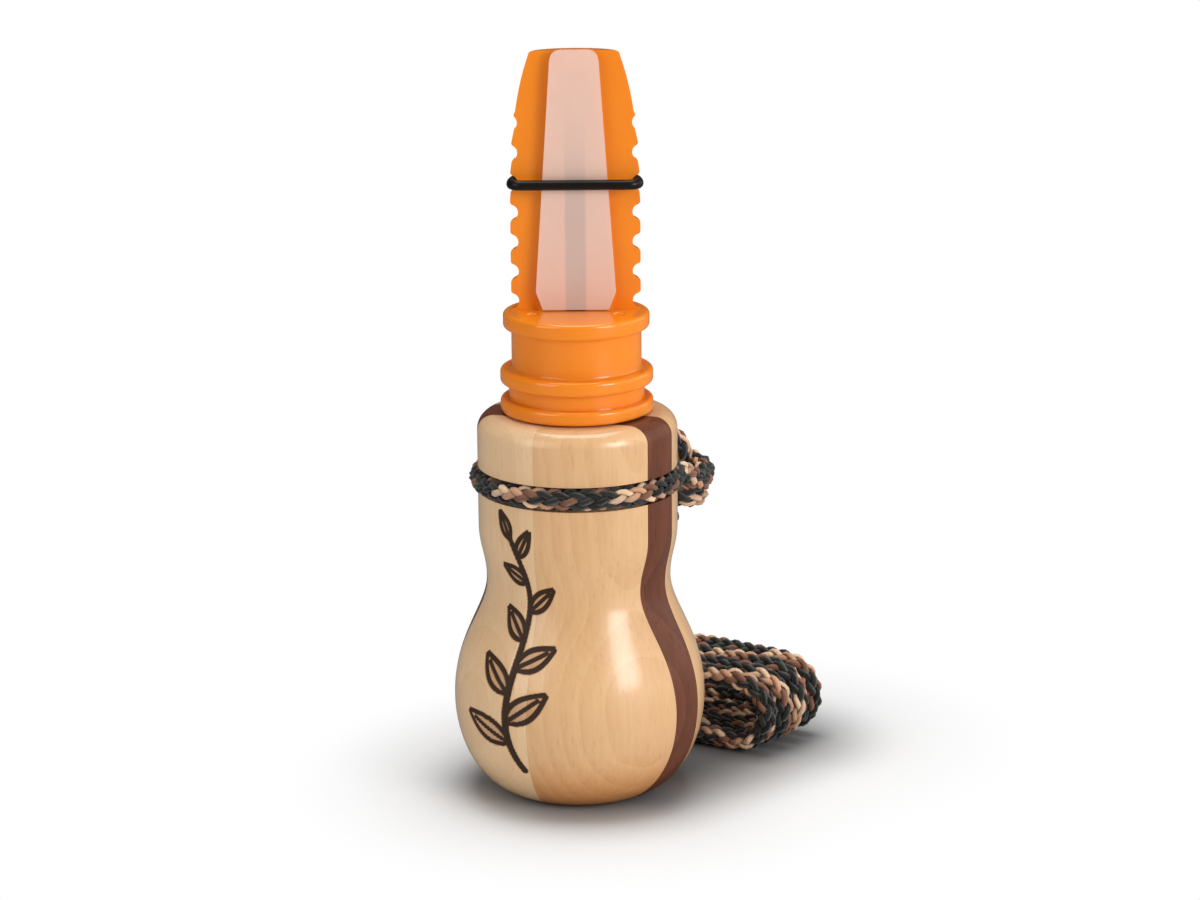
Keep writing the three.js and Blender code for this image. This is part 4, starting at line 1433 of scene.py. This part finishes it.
def floor_distance(tree):
    """The distance from the line between the base and the hank's end, more of it towards the end."""
    whole_run = SHADOW_RUN / SHADOW_RUN.length_squared
    place = calculate(tree, "SUBTRACT", object_place(tree), SHADOW_START, kind="VectorMath", result="Vector")
    along = calculate(tree, "DOT_PRODUCT", place, whole_run, kind="VectorMath")
    share = add_node(tree, "Clamp", Value=along).outputs["Result"]
    nearest = add_node(tree, "VectorMath", operation="SCALE", Vector=SHADOW_RUN, Scale=share)
    away = calculate(tree, "DISTANCE", place, nearest.outputs["Vector"], kind="VectorMath")
    return calculate(tree, "MULTIPLY_ADD", share, SHADE_EASE, away)


def by_ray(tree, ray, usual, special):
    """One value for a kind of ray, and the usual value for all others."""
    of_that_kind = add_node(tree, "LightPath").outputs[ray]
    return calculate(tree, "MULTIPLY_ADD", of_that_kind, special - usual, usual)


def floor_material():
    material, shader = new_material("pale_floor", Roughness=0.6)
    tree = material.node_tree
    distance = floor_distance(tree)
    # painted shadow: the floor's colour is darker near the call and the hank
    shaded = fade(tree, distance, SHADE_NEAR, SHADE_FAR, SHADE_DARK, FLOOR_PALE)
    shown = calculate(tree, "MULTIPLY", shaded, by_ray(tree, "Is Glossy Ray", 1, MIRRORED))
    tree.links.new(shown, shader.inputs["Base Color"])
    path = add_node(tree, "LightPath").outputs
    seen = calculate(tree, "MAXIMUM", path["Is Camera Ray"], path["Is Transmission Ray"])
    share = calculate(tree, "MULTIPLY", seen, fade(tree, distance, WHITE_NEAR, WHITE_FAR))
    white = add_node(tree, "Emission", Color=(1, 1, 1), Strength=1)
    mix = add_node(tree, "MixShader", Fac=share)
    tree.links.new(shader.outputs["BSDF"], mix.inputs[1])
    tree.links.new(white.outputs["Emission"], mix.inputs[2])
    tree.links.new(mix.outputs["Shader"], tree.nodes["Material Output"].inputs["Surface"])
    return material


object_mode()
bpy.ops.mesh.primitive_plane_add(size=FLOOR_SIZE)
floor = bpy.context.object
floor.name = "floor"
floor.data.materials.append(floor_material())
print("floor:", FLOOR_SIZE, "m wide")

# %% Lamps and world
SKY_LIGHT = 0.25
LIGHT_AIM = Vector((0, 0, 0.05))
LAMPS = (
    ("right_softbox", (0.55, -0.5, 0.3), (0.3, 0.34), 2.6),
    ("left_softbox", (-0.55, -0.5, 0.38), (0.5, 0.6), 1.8),
    ("side_panel", (0.6, -0.1, 0.25), (1.6, 0.6), 2.6),
    ("top_softbox", (0, 0.1, 0.8), (0.5, 0.5), 4.4),
)
for name, place, size, power in LAMPS:
    bpy.ops.object.light_add(type="AREA", location=place)
    lamp = bpy.context.object
    lamp.name = name
    lamp.data.shape = "RECTANGLE"
    lamp.data.size, lamp.data.size_y = size
    lamp.data.energy = power
    lamp.rotation_euler = (LIGHT_AIM - Vector(place)).to_track_quat("-Z", "Y").to_euler()

world = bpy.data.worlds.new("pale_room")
world.use_nodes = True
sky_tree = world.node_tree
sky = sky_tree.nodes["Background"].inputs
sky_tree.links.new(by_ray(sky_tree, "Is Glossy Ray", 1, MIRRORED), sky["Color"])
sky_tree.links.new(by_ray(sky_tree, "Is Camera Ray", SKY_LIGHT, 1), sky["Strength"])
scene.world = world
print("lamps:", len(LAMPS))
